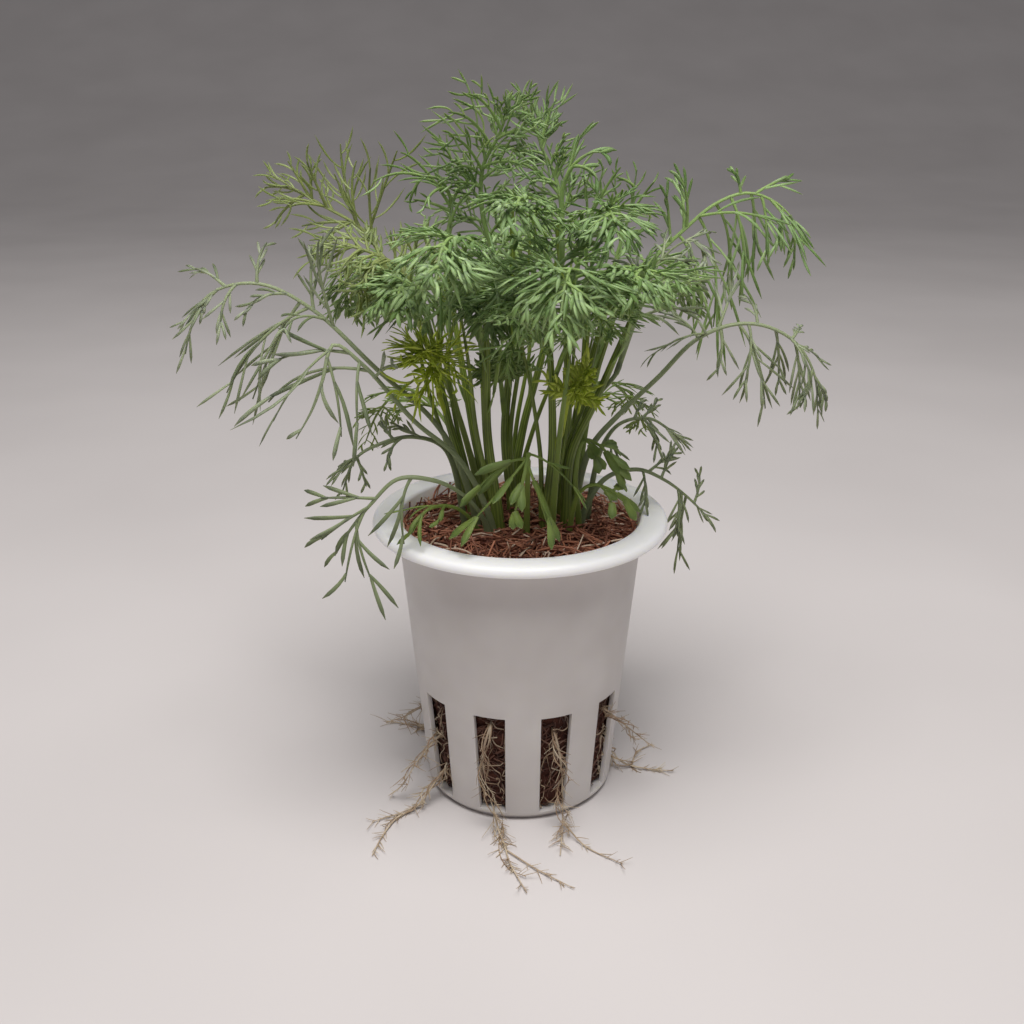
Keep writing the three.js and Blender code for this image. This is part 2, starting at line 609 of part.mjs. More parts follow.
// A side branch is left out where it would touch another leaf or stem.
const pot = netPot();
for (const leaf of growing.filter(({ name }) => LEAVES[name])) {
  const others = growing.filter((other) => other !== leaf);
  for (const branch of branchEnds(LEAVES[leaf.name], ribs[leaf.name])) {
    const curve = branchCurve(branch, LEAVES[leaf.name].arch);
    const radii = [PINNA_RADIUS, PINNA_TIP_RADIUS];
    const wide = radii.map((radius) => radius + 2 * GAP);
    const sleeve = taperedTube(curve, wide, PINNA_SIDES, PINNA_STEPS, GAP);
    const box = sleeve.boundingBox();
    const touches = others.some(({ solid }) => boxesMeet(box, solid.boundingBox())
      && sleeve.intersect(solid).volume() > 0);
    if (!touches) {
      leaf.solid = leaf.solid.add(taperedTube(curve, radii, PINNA_SIDES, PINNA_STEPS));
    }
  }
}

let coir = coirPlug();
for (const { sleeve } of growing) coir = coir.subtract(sleeve);

addPart("net_pot", pot, POT_PLASTIC);
addPart("coir_plug", coir, COIR);
for (const { name, solid, material } of growing) addPart(name, solid, material);

export default parts;
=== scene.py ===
# %% [markdown]
# # A net pot of young dill
#
# The real object is a handful of dill seedlings grown in a slotted white net pot. The pot is
# filled with coconut coir, the seedlings stand in it, and their roots have found the slots.
# The construction comes in as a frame of plain solids, one for each stem, leaf and root.
# This lesson gives every one of them its real surface, without moving any of them.

# %% Load the frame
import math
import random
from collections import namedtuple

import bmesh
import bpy
from mathutils import Matrix, Quaternion, Vector, noise


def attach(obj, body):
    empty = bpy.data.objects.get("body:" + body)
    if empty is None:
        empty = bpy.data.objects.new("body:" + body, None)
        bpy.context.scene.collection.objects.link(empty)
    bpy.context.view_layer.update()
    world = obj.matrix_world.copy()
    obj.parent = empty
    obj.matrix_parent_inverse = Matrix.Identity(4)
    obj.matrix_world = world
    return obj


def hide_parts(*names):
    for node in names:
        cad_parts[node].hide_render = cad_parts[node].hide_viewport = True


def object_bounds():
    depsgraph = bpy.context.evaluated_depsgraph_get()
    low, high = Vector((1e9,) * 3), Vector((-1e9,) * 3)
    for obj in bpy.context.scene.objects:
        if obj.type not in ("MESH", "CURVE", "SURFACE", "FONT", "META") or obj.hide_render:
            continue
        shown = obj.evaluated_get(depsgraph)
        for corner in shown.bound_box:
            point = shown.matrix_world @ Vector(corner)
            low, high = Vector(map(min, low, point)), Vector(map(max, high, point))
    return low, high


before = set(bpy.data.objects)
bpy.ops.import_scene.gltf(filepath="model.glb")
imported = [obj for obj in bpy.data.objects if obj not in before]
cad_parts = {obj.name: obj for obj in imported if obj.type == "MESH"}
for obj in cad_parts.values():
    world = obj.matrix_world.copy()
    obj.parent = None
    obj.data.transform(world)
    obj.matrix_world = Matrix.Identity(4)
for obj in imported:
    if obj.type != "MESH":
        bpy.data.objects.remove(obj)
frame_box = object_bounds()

MM = 0.001
size = (frame_box[1] - frame_box[0]) / MM
print(f"{len(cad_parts)} nodes in a box of {size.x:.0f} x {size.y:.0f} x {size.z:.0f} mm")

# %% [markdown]
# ## Two helpers for every node tree
#
# Colours are easiest to choose as sRGB hex values, the way a paint chart gives them, but a
# renderer adds light in linear values, so one function turns the first into the second.
# Another adds a node to any tree: its settings by name, and its inputs by socket name or
# number, each a plain value, a hex colour or the output that feeds it.

# %% Colours
def srgb(code):
    """An sRGB hex value as a linear colour with full alpha."""
    shares = [int(code[i : i + 2], 16) / 255 for i in (1, 3, 5)]
    return (*[s / 12.92 if s <= 0.04045 else ((s + 0.055) / 1.055) ** 2.4 for s in shares], 1.0)


print("white plastic in linear values:", [round(c, 3) for c in srgb("#eceae6")[:3]])


# %% Adding a node
def find(sockets, key):
    """A socket by number, or by name among those that the node's settings switch on."""
    if isinstance(key, int):
        return sockets[key]
    found = [s for s in sockets if s.name == key and s.enabled]
    if not found:
        raise KeyError(f"no socket {key!r} among {[s.name for s in sockets if s.enabled]}")
    return found[0]


def add(tree, kind, inputs=None, output=None, **settings):
    """Adds a node and returns its named output, or its first one that is switched on."""
    node = tree.nodes.new(kind)
    for name, value in settings.items():
        setattr(node, name, value)
    for key, value in (inputs or {}).items():
        socket = find(node.inputs, key)
        for source in value if isinstance(value, list) else [value]:
            if isinstance(source, bpy.types.NodeSocket):
                tree.links.new(source, socket)
            elif isinstance(source, str) and source.startswith("#"):
                socket.default_value = srgb(source)
            else:
                socket.default_value = source
    if not node.outputs:
        return node
    return find(node.outputs, output) if output else next(s for s in node.outputs if s.enabled)


# The kinds of node that the trees below use most, and what makes a Mix node mix colours.
MATH = "ShaderNodeMath"
VECTOR = "ShaderNodeVectorMath"
MIX = "ShaderNodeMix"
COLOUR = {"output": "Result", "data_type": "RGBA"}
RANGE = "ShaderNodeMapRange"
CARRIED = "ShaderNodeAttribute"
NAMED = "GeometryNodeInputNamedAttribute"
STORE = "GeometryNodeStoreNamedAttribute"
print("add() makes any node: a", MATH, "or a", STORE)

# %% [markdown]
# ## Turning a tree into a finished mesh
#
# Geometry Nodes do the work that repeats, and the result is kept as a plain mesh. A tree's
# sizes are named inputs, so that one tree serves every leaf. They are set by identifier
# before the first evaluation, and the modifier is taken off once the mesh is made.

# %% Geometry trees
def new_tree(name, inputs):
    """A geometry tree whose inputs are (name, socket type, default), and its inputs by name."""
    tree = bpy.data.node_groups.new(name, "GeometryNodeTree")
    geometry = "NodeSocketGeometry"
    tree.interface.new_socket("Geometry", in_out="INPUT", socket_type=geometry)
    for label, kind, default in inputs:
        socket = tree.interface.new_socket(label, in_out="INPUT", socket_type=kind)
        if default is not None:
            socket.default_value = default
    tree.interface.new_socket("Geometry", in_out="OUTPUT", socket_type=geometry)
    source = tree.nodes.new("NodeGroupInput").outputs
    print(f"{name}: {len(inputs)} inputs")
    return tree, {socket.name: socket for socket in source}


def end_tree(tree, geometry, material):
    """Ends a tree in real faces, smooth ones, with their material."""
    solid = add(tree, "GeometryNodeRealizeInstances", {"Geometry": geometry})
    smooth = add(tree, "GeometryNodeSetShadeSmooth", {"Geometry": solid})
    done = add(tree, "GeometryNodeSetMaterial", {"Geometry": smooth, "Material": material})
    add(tree, "NodeGroupOutput", {"Geometry": done})


def plain_mesh(piece):
    """Replaces a piece's mesh by what its modifiers make of it, and takes them off."""
    depsgraph = bpy.context.evaluated_depsgraph_get()
    made = bpy.data.meshes.new_from_object(
        piece.evaluated_get(depsgraph), preserve_all_data_layers=True, depsgraph=depsgraph
    )
    piece.modifiers.clear()
    piece.data = made
    made.name = piece.name
    return piece


def run(piece, tree, values):
    """Runs a geometry tree on a piece with these named values and keeps the plain mesh."""
    modifier = piece.modifiers.new(tree.name, "NODES")
    modifier.node_group = tree
    sockets = [item for item in tree.interface.items_tree if item.in_out == "INPUT"]
    names = {item.name: item.identifier for item in sockets}
    for name, value in values.items():
        modifier[names[name]] = value
    return plain_mesh(piece)


def new_piece(name, mesh):
    """An object at the origin that holds this mesh, lamp or camera."""
    piece = bpy.data.objects.new(name, mesh)
    bpy.context.scene.collection.objects.link(piece)
    return piece


def settle(piece, slot, *nodes):
    """The piece rides on the one body and stands for these nodes; the slot is not used."""
    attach(piece, "root")
    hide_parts(*nodes)
    return piece


# %% [markdown]
# ## Paths
#
# A petiole, a stem or a root is a smooth line through a few chosen points. The curve is the
# centripetal Catmull-Rom one, which passes through every point without loops, so a piece
# made on it lies exactly on its solid in the frame. It is cut into even steps, and a share
# from 0 to 1 names any place on it.

# %% Smooth paths
PATH_STEPS = 60
FINE_STEPS = 16


def between(a, b, start, end, place):
    """The point at this place on a line that runs from a at start to b at end."""
    return a.lerp(b, (place - start) / (end - start))


def catmull_rom(four, share):
    """The point at this share of the way from the second of four points to the third."""
    knots = [0.0]
    for a, b in zip(four, four[1:]):
        knots.append(knots[-1] + (b - a).length ** 0.5)
    knot = knots[1] + (knots[2] - knots[1]) * share
    three = [between(four[i], four[i + 1], knots[i], knots[i + 1], knot) for i in range(3)]
    two = [between(three[i], three[i + 1], knots[i], knots[i + 2], knot) for i in range(2)]
    return between(two[0], two[1], knots[1], knots[2], knot)


def evenly(points, steps):
    """The same line with its points an even distance apart."""
    lengths = [0.0]
    for a, b in zip(points, points[1:]):
        lengths.append(lengths[-1] + (b - a).length)
    even, span = [], 0
    for step in range(steps + 1):
        target = lengths[-1] * step / steps
        while span < len(points) - 2 and lengths[span + 1] < target:
            span += 1
        near, far = span, span + 1
        even.append(between(points[near], points[far], lengths[near], lengths[far], target))
    return even


def path(points, steps=PATH_STEPS):
    """A smooth, evenly stepped line through points given in millimetres."""
    set_points = [Vector(p) * MM for p in points]
    before = set_points[0] * 2 - set_points[1]
    after = set_points[-1] * 2 - set_points[-2]
    row = [before, *set_points, after]
    fine = [
        catmull_rom(four, k / FINE_STEPS)
        for four in zip(row, row[1:], row[2:], row[3:])
        for k in range(FINE_STEPS)
    ]
    return evenly([*fine, set_points[-1]], steps)


def at(line, share):
    """The point at this share of a line."""
    place = min(max(share, 0.0), 1.0) * (len(line) - 1)
    step = min(int(place), len(line) - 2)
    return line[step].lerp(line[step + 1], place - step)


def heading(line, share):
    """The way a line runs at this share of it."""
    step = min(int(share * (len(line) - 1)), len(line) - 2)
    return (line[step + 1] - line[step]).normalized()


def arc_path(start, end, rise, steps, lean=Vector((0, 0, 0))):
    """A curved line whose middle is lifted by `rise` and pushed by `lean`."""
    middle = start.lerp(end, 0.5) + Vector((0, 0, rise)) + lean
    shares = [k / steps for k in range(steps + 1)]
    return [start.lerp(middle, share).lerp(middle.lerp(end, share), share) for share in shares]


print(f"a path has {PATH_STEPS} even steps unless it asks for fewer")


# %% [markdown]
# ## Strands
#
# A strand is a line with what it carries at each point: its half width, the way its flat
# side faces, and how long the leaflets on it may grow, or 0 if it bears none. All the
# strands of a leaf go in one mesh of bare edges, and the values ride along as point
# attributes, which a geometry tree can read and every later step keeps.

# %% Strand meshes
def strand(line, widths, face=(0, 0, 1), reach=0.0):
    """Widths are half widths in millimetres, spread evenly from the first point to the last."""
    steps = len(line) - 1
    return {
        "line": line,
        "thick": [at_value(widths, k / steps) * MM for k in range(steps + 1)],
        "face": Vector(face),
        "reach": reach,
    }


def at_value(values, share):
    """The number at this share of a row of numbers."""
    place = share * (len(values) - 1)
    step = min(int(place), len(values) - 2)
    return values[step] + (values[step + 1] - values[step]) * (place - step)


def strand_mesh(name, strands):
    """Bare edges with what every strand carries at its points."""
    mesh = bpy.data.meshes.new(name)
    points, edges, thick, face, reach = [], [], [], [], []
    for one in strands:
        first = len(points)
        points += [tuple(p) for p in one["line"]]
        edges += [(first + k, first + k + 1) for k in range(len(one["line"]) - 1)]
        thick += one["thick"]
        face += [c for _ in one["line"] for c in one["face"]]
        reach += [one["reach"]] * len(one["line"])
    mesh.from_pydata(points, edges, [])
    for label, kind, values in (("thick", "FLOAT", thick), ("reach", "FLOAT", reach)):
        mesh.attributes.new(label, kind, "POINT").data.foreach_set("value", values)
    mesh.attributes.new("face", "FLOAT_VECTOR", "POINT").data.foreach_set("vector", face)
    return mesh


print("each strand point carries thick, face and reach")

# %% [markdown]
# ## Materials that grow
#
# Dill leaves are thin and waxy: light comes half from their gloss and half from inside
# them, so a little subsurface light goes with a medium roughness. No two leaflets are the
# same green, and their tips are darker than their ribs. The trees store a random `tone` for
# each leaflet and `along`, from 0 at its foot to 1 at its tip, and the colour is mixed from
# those, with soft mottling a few millimetres across. Low in the bunch the green is painted
# darker and more olive, as painted shade under the canopy.

# %% Materials and their grain
def new_material(name, roughness, ior, subsurface=0.0, radius_mm=0.5):
    """A material with its tree and its one Principled shader, whose even values are set."""
    material = bpy.data.materials.new(name)
    material.use_nodes = True
    shader = material.node_tree.nodes["Principled BSDF"]
    shader.inputs["Roughness"].default_value = roughness
    shader.inputs["IOR"].default_value = ior
    shader.inputs["Subsurface Weight"].default_value = subsurface
    shader.inputs["Subsurface Radius"].default_value = (1.0, 1.0, 0.6)
    shader.inputs["Subsurface Scale"].default_value = radius_mm * MM
    return material, material.node_tree, shader


def grain(tree, size_mm, detail=2.0, stretch=(1, 1, 1)):
    """Noise whose lumps are about this size, in the object's own space."""
    place = add(tree, "ShaderNodeTexCoord", output="Object")
    place = add(tree, "ShaderNodeMapping", {"Vector": place, "Scale": stretch})
    values = {"Vector": place, "Scale": 1 / (size_mm * MM), "Detail": detail}
    return add(tree, "ShaderNodeTexNoise", values, "Fac")


def patches(tree, size_mm, low, high, most=1.0, detail=2.0):
    """Grain from 0 where it is under `low` to `most` where it is over `high`."""
    values = {"Value": grain(tree, size_mm, detail), "From Min": low, "From Max": high}
    return add(tree, RANGE, {**values, "To Max": most}, "Result")


def by_height(tree, low, high, under, over):
    """A value that goes from `under` to `over` between two heights above the floor."""
    place = add(tree, "ShaderNodeTexCoord", output="Object")
    level = add(tree, "ShaderNodeSeparateXYZ", {"Vector": place}, "Z")
    values = {"Value": level, "From Min": low, "From Max": high}
    return add(tree, RANGE, {**values, "To Min": under, "To Max": over}, "Result")


def coloured(tree, shader, colour, size_mm=None, depth_mm=0.0, detail=2.0, stretch=(1, 1, 1)):
    """Gives a shader its colour and, where it has any, its relief: how wide and how deep."""
    tree.links.new(colour, shader.inputs["Base Color"])
    if size_mm:
        values = {"Height": grain(tree, size_mm, detail, stretch), "Distance": depth_mm * MM}
        tree.links.new(add(tree, "ShaderNodeBump", values, "Normal"), shader.inputs["Normal"])


print("grain of 3 mm is a noise scale of", round(1 / (3 * MM)), "per metre")

# %% Leaf materials
MOTTLE_SIZE = 3.0
MOTTLE_SHARE = 0.25
# Heights between which the painted shade under the canopy fades out, and its strength.
SHADE_FULL_UNDER = 70 * MM
SHADE_ENDS_OVER = 115 * MM
LOW_SHADE_SHARE = 0.75
TIP_FROM = 0.45
TIP_SHARE = 0.85


def leaf_material(name, dark, light, rib, tip, low):
    """A thin waxy leaf, half lit from inside, with paler ribs, darker tips and painted shade low down.
    """
    material, tree, shader = new_material(
        name, roughness=0.55, ior=1.4, subsurface=0.5, radius_mm=0.8)
    tone = add(tree, CARRIED, output="Fac", attribute_name="tone")
    own = add(tree, MIX, {"Factor": tone, "A": dark, "B": light}, **COLOUR)
    mottle = patches(tree, MOTTLE_SIZE, low=0.35, high=0.65, most=MOTTLE_SHARE)
    own = add(tree, MIX, {"Factor": mottle, "A": own, "B": dark}, **COLOUR)
    stalk = add(tree, CARRIED, output="Fac", attribute_name="stalk")
    own = add(tree, MIX, {"Factor": stalk, "A": own, "B": rib}, **COLOUR)
    # Painted shade: low in the bunch the green is mixed towards a darker olive, for the shade under the
    # canopy.
    low_shade = by_height(tree, SHADE_FULL_UNDER, SHADE_ENDS_OVER, under=LOW_SHADE_SHARE, over=0.0)
    own = add(tree, MIX, {"Factor": low_shade, "A": own, "B": low}, **COLOUR)
    along = add(tree, CARRIED, output="Fac", attribute_name="along")
    values = {"Value": along, "From Min": TIP_FROM, "To Max": TIP_SHARE}
    near_tip = add(tree, RANGE, values, "Result")
    own = add(tree, MIX, {"Factor": near_tip, "A": own, "B": tip}, **COLOUR)
    coloured(tree, shader, own, size_mm=0.35, depth_mm=0.04)
    return material


# Each leaf's darkest and lightest green, its ribs, its tips, and the darker olive of the painted shade
# low down.
LEAF_MATERIALS = {
    "leaf_green": leaf_material(
        "Fresh dill leaf", "#5c7a40", "#aac48c", "#86a05e", "#4a6030", "#6c7a2c"),
    "leaf_grey_green": leaf_material(
        "Mature dill leaf", "#626e50", "#a8b098", "#8e9876", "#42483a", "#727c58"),
    "leaf_yellow_green": leaf_material(
        "Young dill leaf", "#66763a", "#a3b07c", "#848f54", "#525e32", "#7c8a44"),
    "leaf_new_growth": leaf_material(
        "Dill leaf just opened", "#9db32e", "#e2ee78", "#b4c24a", "#76881e", "#a4b438"),
}
print("leaf materials:", ", ".join(m.name for m in LEAF_MATERIALS.values()))

# %% [markdown]
# ## A tree that grows leaflets
#
# A dill leaf is divided again and again until only narrow needles are left. Modelling each
# by hand would take days, and a particle system would not export. So a geometry tree walks
# along every bearing strand, sets a small cluster of needles at even steps, lets them sag
# under their weight, and sweeps them and the stalks alike with a flattened section that
# narrows to a point.

# %% Needle clusters
# Each cluster is drawn on a strip one leaflet long, the strand running along +X. A needle
# is a foot, a bend and a tip, and a toe's foot lies on another needle. First come two
# clusters of nearly straight needles, then three that open like a bird's foot, then two
# single bent ones. Every other cluster on a strand is mirrored.
CLUSTERS = [
    [((0, 0), (0.50, -0.22), (1.00, -0.42)), ((0.10, 0), (0.60, 0.16), (1.10, 0.28))],
    [((0, 0), (0.50, 0.20), (1.00, 0.38))],
    [((0, 0), (0.28, 0.36), (0.80, 0.74)), ((0.30, 0.34), (0.62, 0.42), (1.02, 0.38)),
     ((0.10, 0), (0.42, -0.34), (0.84, -0.70)), ((0.38, -0.30), (0.68, -0.36), (1.06, -0.28))],
    [((0, 0), (0.24, -0.36), (0.82, -0.70)), ((0.26, -0.34), (0.64, -0.36), (1.02, -0.18)),
     ((0.08, 0), (0.36, 0.32), (0.98, 0.42))],
    [((0, 0), (0.24, 0.36), (0.84, 0.68)), ((0.28, 0.34), (0.66, 0.34), (1.04, 0.20)),
     ((0.10, 0), (0.40, -0.30), (1.02, -0.38))],
    [((0, 0), (0.54, 0.10), (0.90, 0.60))],
    [((0, 0), (0.20, 0.36), (0.92, 0.50))],
]
STRAIGHT, OPEN, SINGLE = (0, 1), (2, 4), (5, 6)  # the first and last cluster of each kind
NEEDLE_STEPS = 5


def cluster_geometry(tree, cluster, spread):
    """One cluster as flat curves, widened by the spread."""
    needles = []
    for foot, bend, tip in cluster:
        values = {"Start": (*foot, 0), "Middle": (*bend, 0), "End": (*tip, 0)}
        values["Resolution"] = NEEDLE_STEPS
        needles.append(add(tree, "GeometryNodeCurveQuadraticBezier", values))
    joined = add(tree, "GeometryNodeJoinGeometry", {"Geometry": needles})
    wide = add(tree, "ShaderNodeCombineXYZ", {"X": 1.0, "Y": spread, "Z": 1.0})
    widened = add(tree, "GeometryNodeTransform", {"Geometry": joined, "Scale": wide})
    return add(tree, "GeometryNodeGeometryToInstance", {"Geometry": widened})


print(f"{len(CLUSTERS)} clusters of {sum(len(c) for c in CLUSTERS)} needles")


# %% Random values and sweeps
def random_value(tree, low, high, seed, offset, id_socket=None):
    """A random number for each point or curve, from the tree's seed moved on by `offset`."""
    own_seed = add(tree, MATH, {0: seed, 1: offset}, operation="ADD")
    values = {"Min": low, "Max": high, "Seed": own_seed}
    if id_socket is not None:
        values["ID"] = id_socket
    return add(tree, "FunctionNodeRandomValue", values, "Value", data_type="FLOAT")


def section(tree, sides, flatness):
    """A flattened ring to sweep along a curve."""
    ring = add(tree, "GeometryNodeCurvePrimitiveCircle", {"Resolution": sides, "Radius": 1.0})
    flat = add(tree, "ShaderNodeCombineXYZ", {"X": flatness, "Y": 1.0, "Z": 1.0})
    return add(tree, "GeometryNodeTransform", {"Geometry": ring, "Scale": flat})


def swept(tree, curve, ring, width):
    """A ring swept along curves, with its flat side turned the way they face."""
    face = add(tree, NAMED, {"Name": "face"}, data_type="FLOAT_VECTOR")
    facing = add(tree, "GeometryNodeSetCurveNormal", {"Curve": curve, "Normal": face}, mode="FREE")
    values = {"Curve": facing, "Profile Curve": ring, "Scale": width, "Fill Caps": True}
    return add(tree, "GeometryNodeCurveToMesh", values)


NEEDLE_SIDES = 6
STALK_SIDES = 8
STALK_FLATNESS = 0.75
print(f"needles have {NEEDLE_SIDES} sides, stalks {STALK_SIDES}")

# %% Leaf tree: its inputs and what its strands carry
leaf_tree, leaf_in = new_tree("Dill leaf", [
    ("Clusters", "NodeSocketInt", 3),
    ("Leaflet share", "NodeSocketFloat", 0.6),
    ("Leaflet width", "NodeSocketFloat", 0.0008),
    ("Spread", "NodeSocketFloat", 1.0),
    ("Sag", "NodeSocketFloat", 0.2),
    ("Curl", "NodeSocketFloat", 2.6),
    ("Flatness", "NodeSocketFloat", 0.42),
    ("Bare share", "NodeSocketFloat", 0.2),
    ("End share", "NodeSocketFloat", 0.88),
    ("First cluster", "NodeSocketInt", 0),
    ("Last cluster", "NodeSocketInt", 4),
    ("Seed", "NodeSocketInt", 1),
    ("Material", "NodeSocketMaterial", None),
])
tree = leaf_tree
stalks = add(tree, "GeometryNodeMeshToCurve", {"Mesh": leaf_in["Geometry"]})
share = add(tree, "GeometryNodeSplineParameter", output="Factor")
stalks = add(tree, STORE, {"Geometry": stalks, "Name": "share", "Value": share})
own_share = add(tree, NAMED, {"Name": "share"}, data_type="FLOAT")
own_reach = add(tree, NAMED, {"Name": "reach"}, data_type="FLOAT")
own_thick = add(tree, NAMED, {"Name": "thick"}, data_type="FLOAT")
own_face = add(tree, NAMED, {"Name": "face"}, data_type="FLOAT_VECTOR")
own_foot = add(tree, NAMED, {"Name": "foot"}, data_type="FLOAT_VECTOR")
print("every strand knows its share, reach, thick and face")

# %% Leaf tree: how the leaflets sit on a branch
ROLL = 0.45
PITCH_DOWN, PITCH_UP = 0.30, 0.20
YAW = 0.22
FIRST_LEAFLET = 1.15
SHRINK = 0.5
SHORTEST, LONGEST = 0.75, 1.15

bearing = add(tree, "GeometryNodeSeparateGeometry",
              {"Geometry": stalks, "Selection": own_reach}, "Selection", domain="CURVE")
trimmed = add(tree, "GeometryNodeTrimCurve",
              {"Curve": bearing, "Start": leaf_in["Bare share"], "End": leaf_in["End share"]},
              mode="FACTOR")
spots = tree.nodes.new("GeometryNodeCurveToPoints")
spots.mode = "COUNT"
tree.links.new(trimmed, spots.inputs["Curve"])
tree.links.new(leaf_in["Clusters"], find(spots.inputs, "Count"))
flat_turn = add(tree, "FunctionNodeAxesToRotation",
                {"Primary Axis": spots.outputs["Tangent"], "Secondary Axis": own_face},
                primary_axis="X", secondary_axis="Z")
roll = random_value(tree, -ROLL, ROLL, leaf_in["Seed"], 1)
pitch = random_value(tree, -PITCH_DOWN, PITCH_UP, leaf_in["Seed"], 2)
yaw = random_value(tree, -YAW, YAW, leaf_in["Seed"], 3)
wobble = add(tree, "ShaderNodeCombineXYZ", {"X": roll, "Y": pitch, "Z": yaw})
wobble = add(tree, "FunctionNodeEulerToRotation", {"Euler": wobble})
turn = add(tree, "FunctionNodeRotateRotation",
           {"Rotation": flat_turn, "Rotate By": wobble}, rotation_space="LOCAL")

# Leaflets get shorter along the branch, and every other one is mirrored to its other side.
shrink = add(tree, MATH, {0: own_share, 1: -SHRINK, 2: FIRST_LEAFLET}, operation="MULTIPLY_ADD")
chance = random_value(tree, SHORTEST, LONGEST, leaf_in["Seed"], 4)
reach = add(tree, MATH, {0: shrink, 1: chance}, operation="MULTIPLY")
reach = add(tree, MATH, {0: reach, 1: leaf_in["Leaflet share"]}, operation="MULTIPLY")
reach = add(tree, MATH, {0: reach, 1: own_reach}, operation="MULTIPLY")
odd = add(tree, MATH, {0: add(tree, "GeometryNodeInputIndex"), 1: 2.0}, operation="MODULO")
mirror = add(tree, MATH, {0: odd, 1: -2.0, 2: 1.0}, operation="MULTIPLY_ADD")
side = add(tree, MATH, {0: reach, 1: mirror}, operation="MULTIPLY")
scale = add(tree, "ShaderNodeCombineXYZ", {"X": reach, "Y": side, "Z": reach})

foot = add(tree, "GeometryNodeInputPosition")
based = add(tree, STORE, {"Geometry": spots.outputs["Points"], "Name": "foot", "Value": foot},
            data_type="FLOAT_VECTOR")
choice = add(tree, "FunctionNodeRandomValue",
             {"Min": leaf_in["First cluster"], "Max": leaf_in["Last cluster"],
              "Seed": leaf_in["Seed"]}, "Value", data_type="INT")
# Instances are numbered from the last one joined, so the last cluster is joined first.
clusters = [cluster_geometry(tree, cluster, leaf_in["Spread"]) for cluster in reversed(CLUSTERS)]
leaflets = add(tree, "GeometryNodeInstanceOnPoints",
               {"Points": based, "Pick Instance": True, "Instance Index": choice,
                "Instance": add(tree, "GeometryNodeJoinGeometry", {"Geometry": clusters}),
                "Rotation": turn, "Scale": scale})
leaflets = add(tree, "GeometryNodeRealizeInstances", {"Geometry": leaflets})
print(f"leaflets turn by up to {math.degrees(ROLL):.0f} degrees about their branch")

# %% Leaf tree: how a needle sags, curls and tapers
WHIRL_SCALE = 400.0
TAPER = {0.0: 0.7, 0.25: 0.8, 0.6: 1.0, 0.85: 0.85, 1.0: 0.12}

# A needle sags with the square of its distance from its foot, and curls a little at random.
out = add(tree, VECTOR, {0: add(tree, "GeometryNodeInputPosition"), 1: own_foot},
          operation="SUBTRACT")
distance = add(tree, VECTOR, {0: out}, "Value", operation="LENGTH")
squared = add(tree, MATH, {0: distance, 1: 2.0}, operation="POWER")
pull = add(tree, MATH, {0: squared, 1: own_reach}, operation="DIVIDE")
fall = add(tree, MATH, {0: pull, 1: leaf_in["Sag"]}, operation="MULTIPLY")
fall = add(tree, MATH, {0: fall, 1: -1.0}, operation="MULTIPLY")
whirl = add(tree, "ShaderNodeTexNoise", {"Vector": own_foot, "Scale": WHIRL_SCALE}, "Color")
whirl = add(tree, VECTOR, {0: whirl, 1: (0.5, 0.5, 0.5)}, operation="SUBTRACT")
curled = add(tree, MATH, {0: pull, 1: leaf_in["Curl"]}, operation="MULTIPLY")
curl = add(tree, VECTOR, {0: whirl, "Scale": curled}, operation="SCALE")
move = add(tree, VECTOR, {0: curl, 1: add(tree, "ShaderNodeCombineXYZ", {"Z": fall})},
           operation="ADD")
leaflets = add(tree, "GeometryNodeSetPosition", {"Geometry": leaflets, "Offset": move})

along = add(tree, "GeometryNodeSplineParameter", output="Factor")
taper = tree.nodes.new("ShaderNodeFloatCurve")
profile = taper.mapping.curves[0]
profile.points[0].location = (0.0, TAPER[0.0])
profile.points[1].location = (1.0, TAPER[1.0])
for place in (0.25, 0.6, 0.85):
    profile.points.new(place, TAPER[place])
taper.mapping.update()
tree.links.new(along, taper.inputs["Value"])
half = add(tree, MATH, {0: leaf_in["Leaflet width"], 1: 0.5}, operation="MULTIPLY")
needle_width = add(tree, MATH, {0: taper.outputs["Value"], 1: half}, operation="MULTIPLY")
number = add(tree, "GeometryNodeCurveOfPoint", output="Curve Index")
tone = random_value(tree, 0.0, 1.0, leaf_in["Seed"], 5, number)
leaflets = add(tree, STORE, {"Geometry": leaflets, "Name": "along", "Value": along})
leaflets = add(tree, STORE, {"Geometry": leaflets, "Name": "tone", "Value": tone})
needle_ring = section(tree, NEEDLE_SIDES, leaf_in["Flatness"])
needles = swept(tree, leaflets, needle_ring, needle_width)
print("a needle is widest at", max(TAPER, key=TAPER.get), "of its length")

# %% Leaf tree: its stalks
RIB_TONES = 0.2, 0.8

stalks = add(tree, STORE, {"Geometry": stalks, "Name": "stalk", "Value": 1.0})
bears = add(tree, MATH, {0: own_reach, 1: 0.0}, operation="GREATER_THAN")
along = add(tree, MATH, {0: bears, 1: own_share}, operation="MULTIPLY")
stalks = add(tree, STORE, {"Geometry": stalks, "Name": "along", "Value": along})
tone = random_value(tree, *RIB_TONES, leaf_in["Seed"], 6)
stalks = add(tree, STORE, {"Geometry": stalks, "Name": "tone", "Value": tone})
ribs = swept(tree, stalks, section(tree, STALK_SIDES, STALK_FLATNESS), own_thick)
leaf = add(tree, "GeometryNodeJoinGeometry", {"Geometry": [needles, ribs]})
end_tree(tree, leaf, leaf_in["Material"])
print(f"the leaf tree has {len(tree.nodes)} nodes")

# %% [markdown]
# ## The leaves
#
# Every leaf starts from the same points as its solid in the frame, given in millimetres: a
# rib that begins in the coir or beside a stem, and side branches that end at chosen tips,
# or that follow a rule along the blade: its start as a share of the rib, the pairs of
# branches on it, and the longest one. Where a leaf faces another way, arches less or bears
# finer branches lower down than the others, its own row says so.

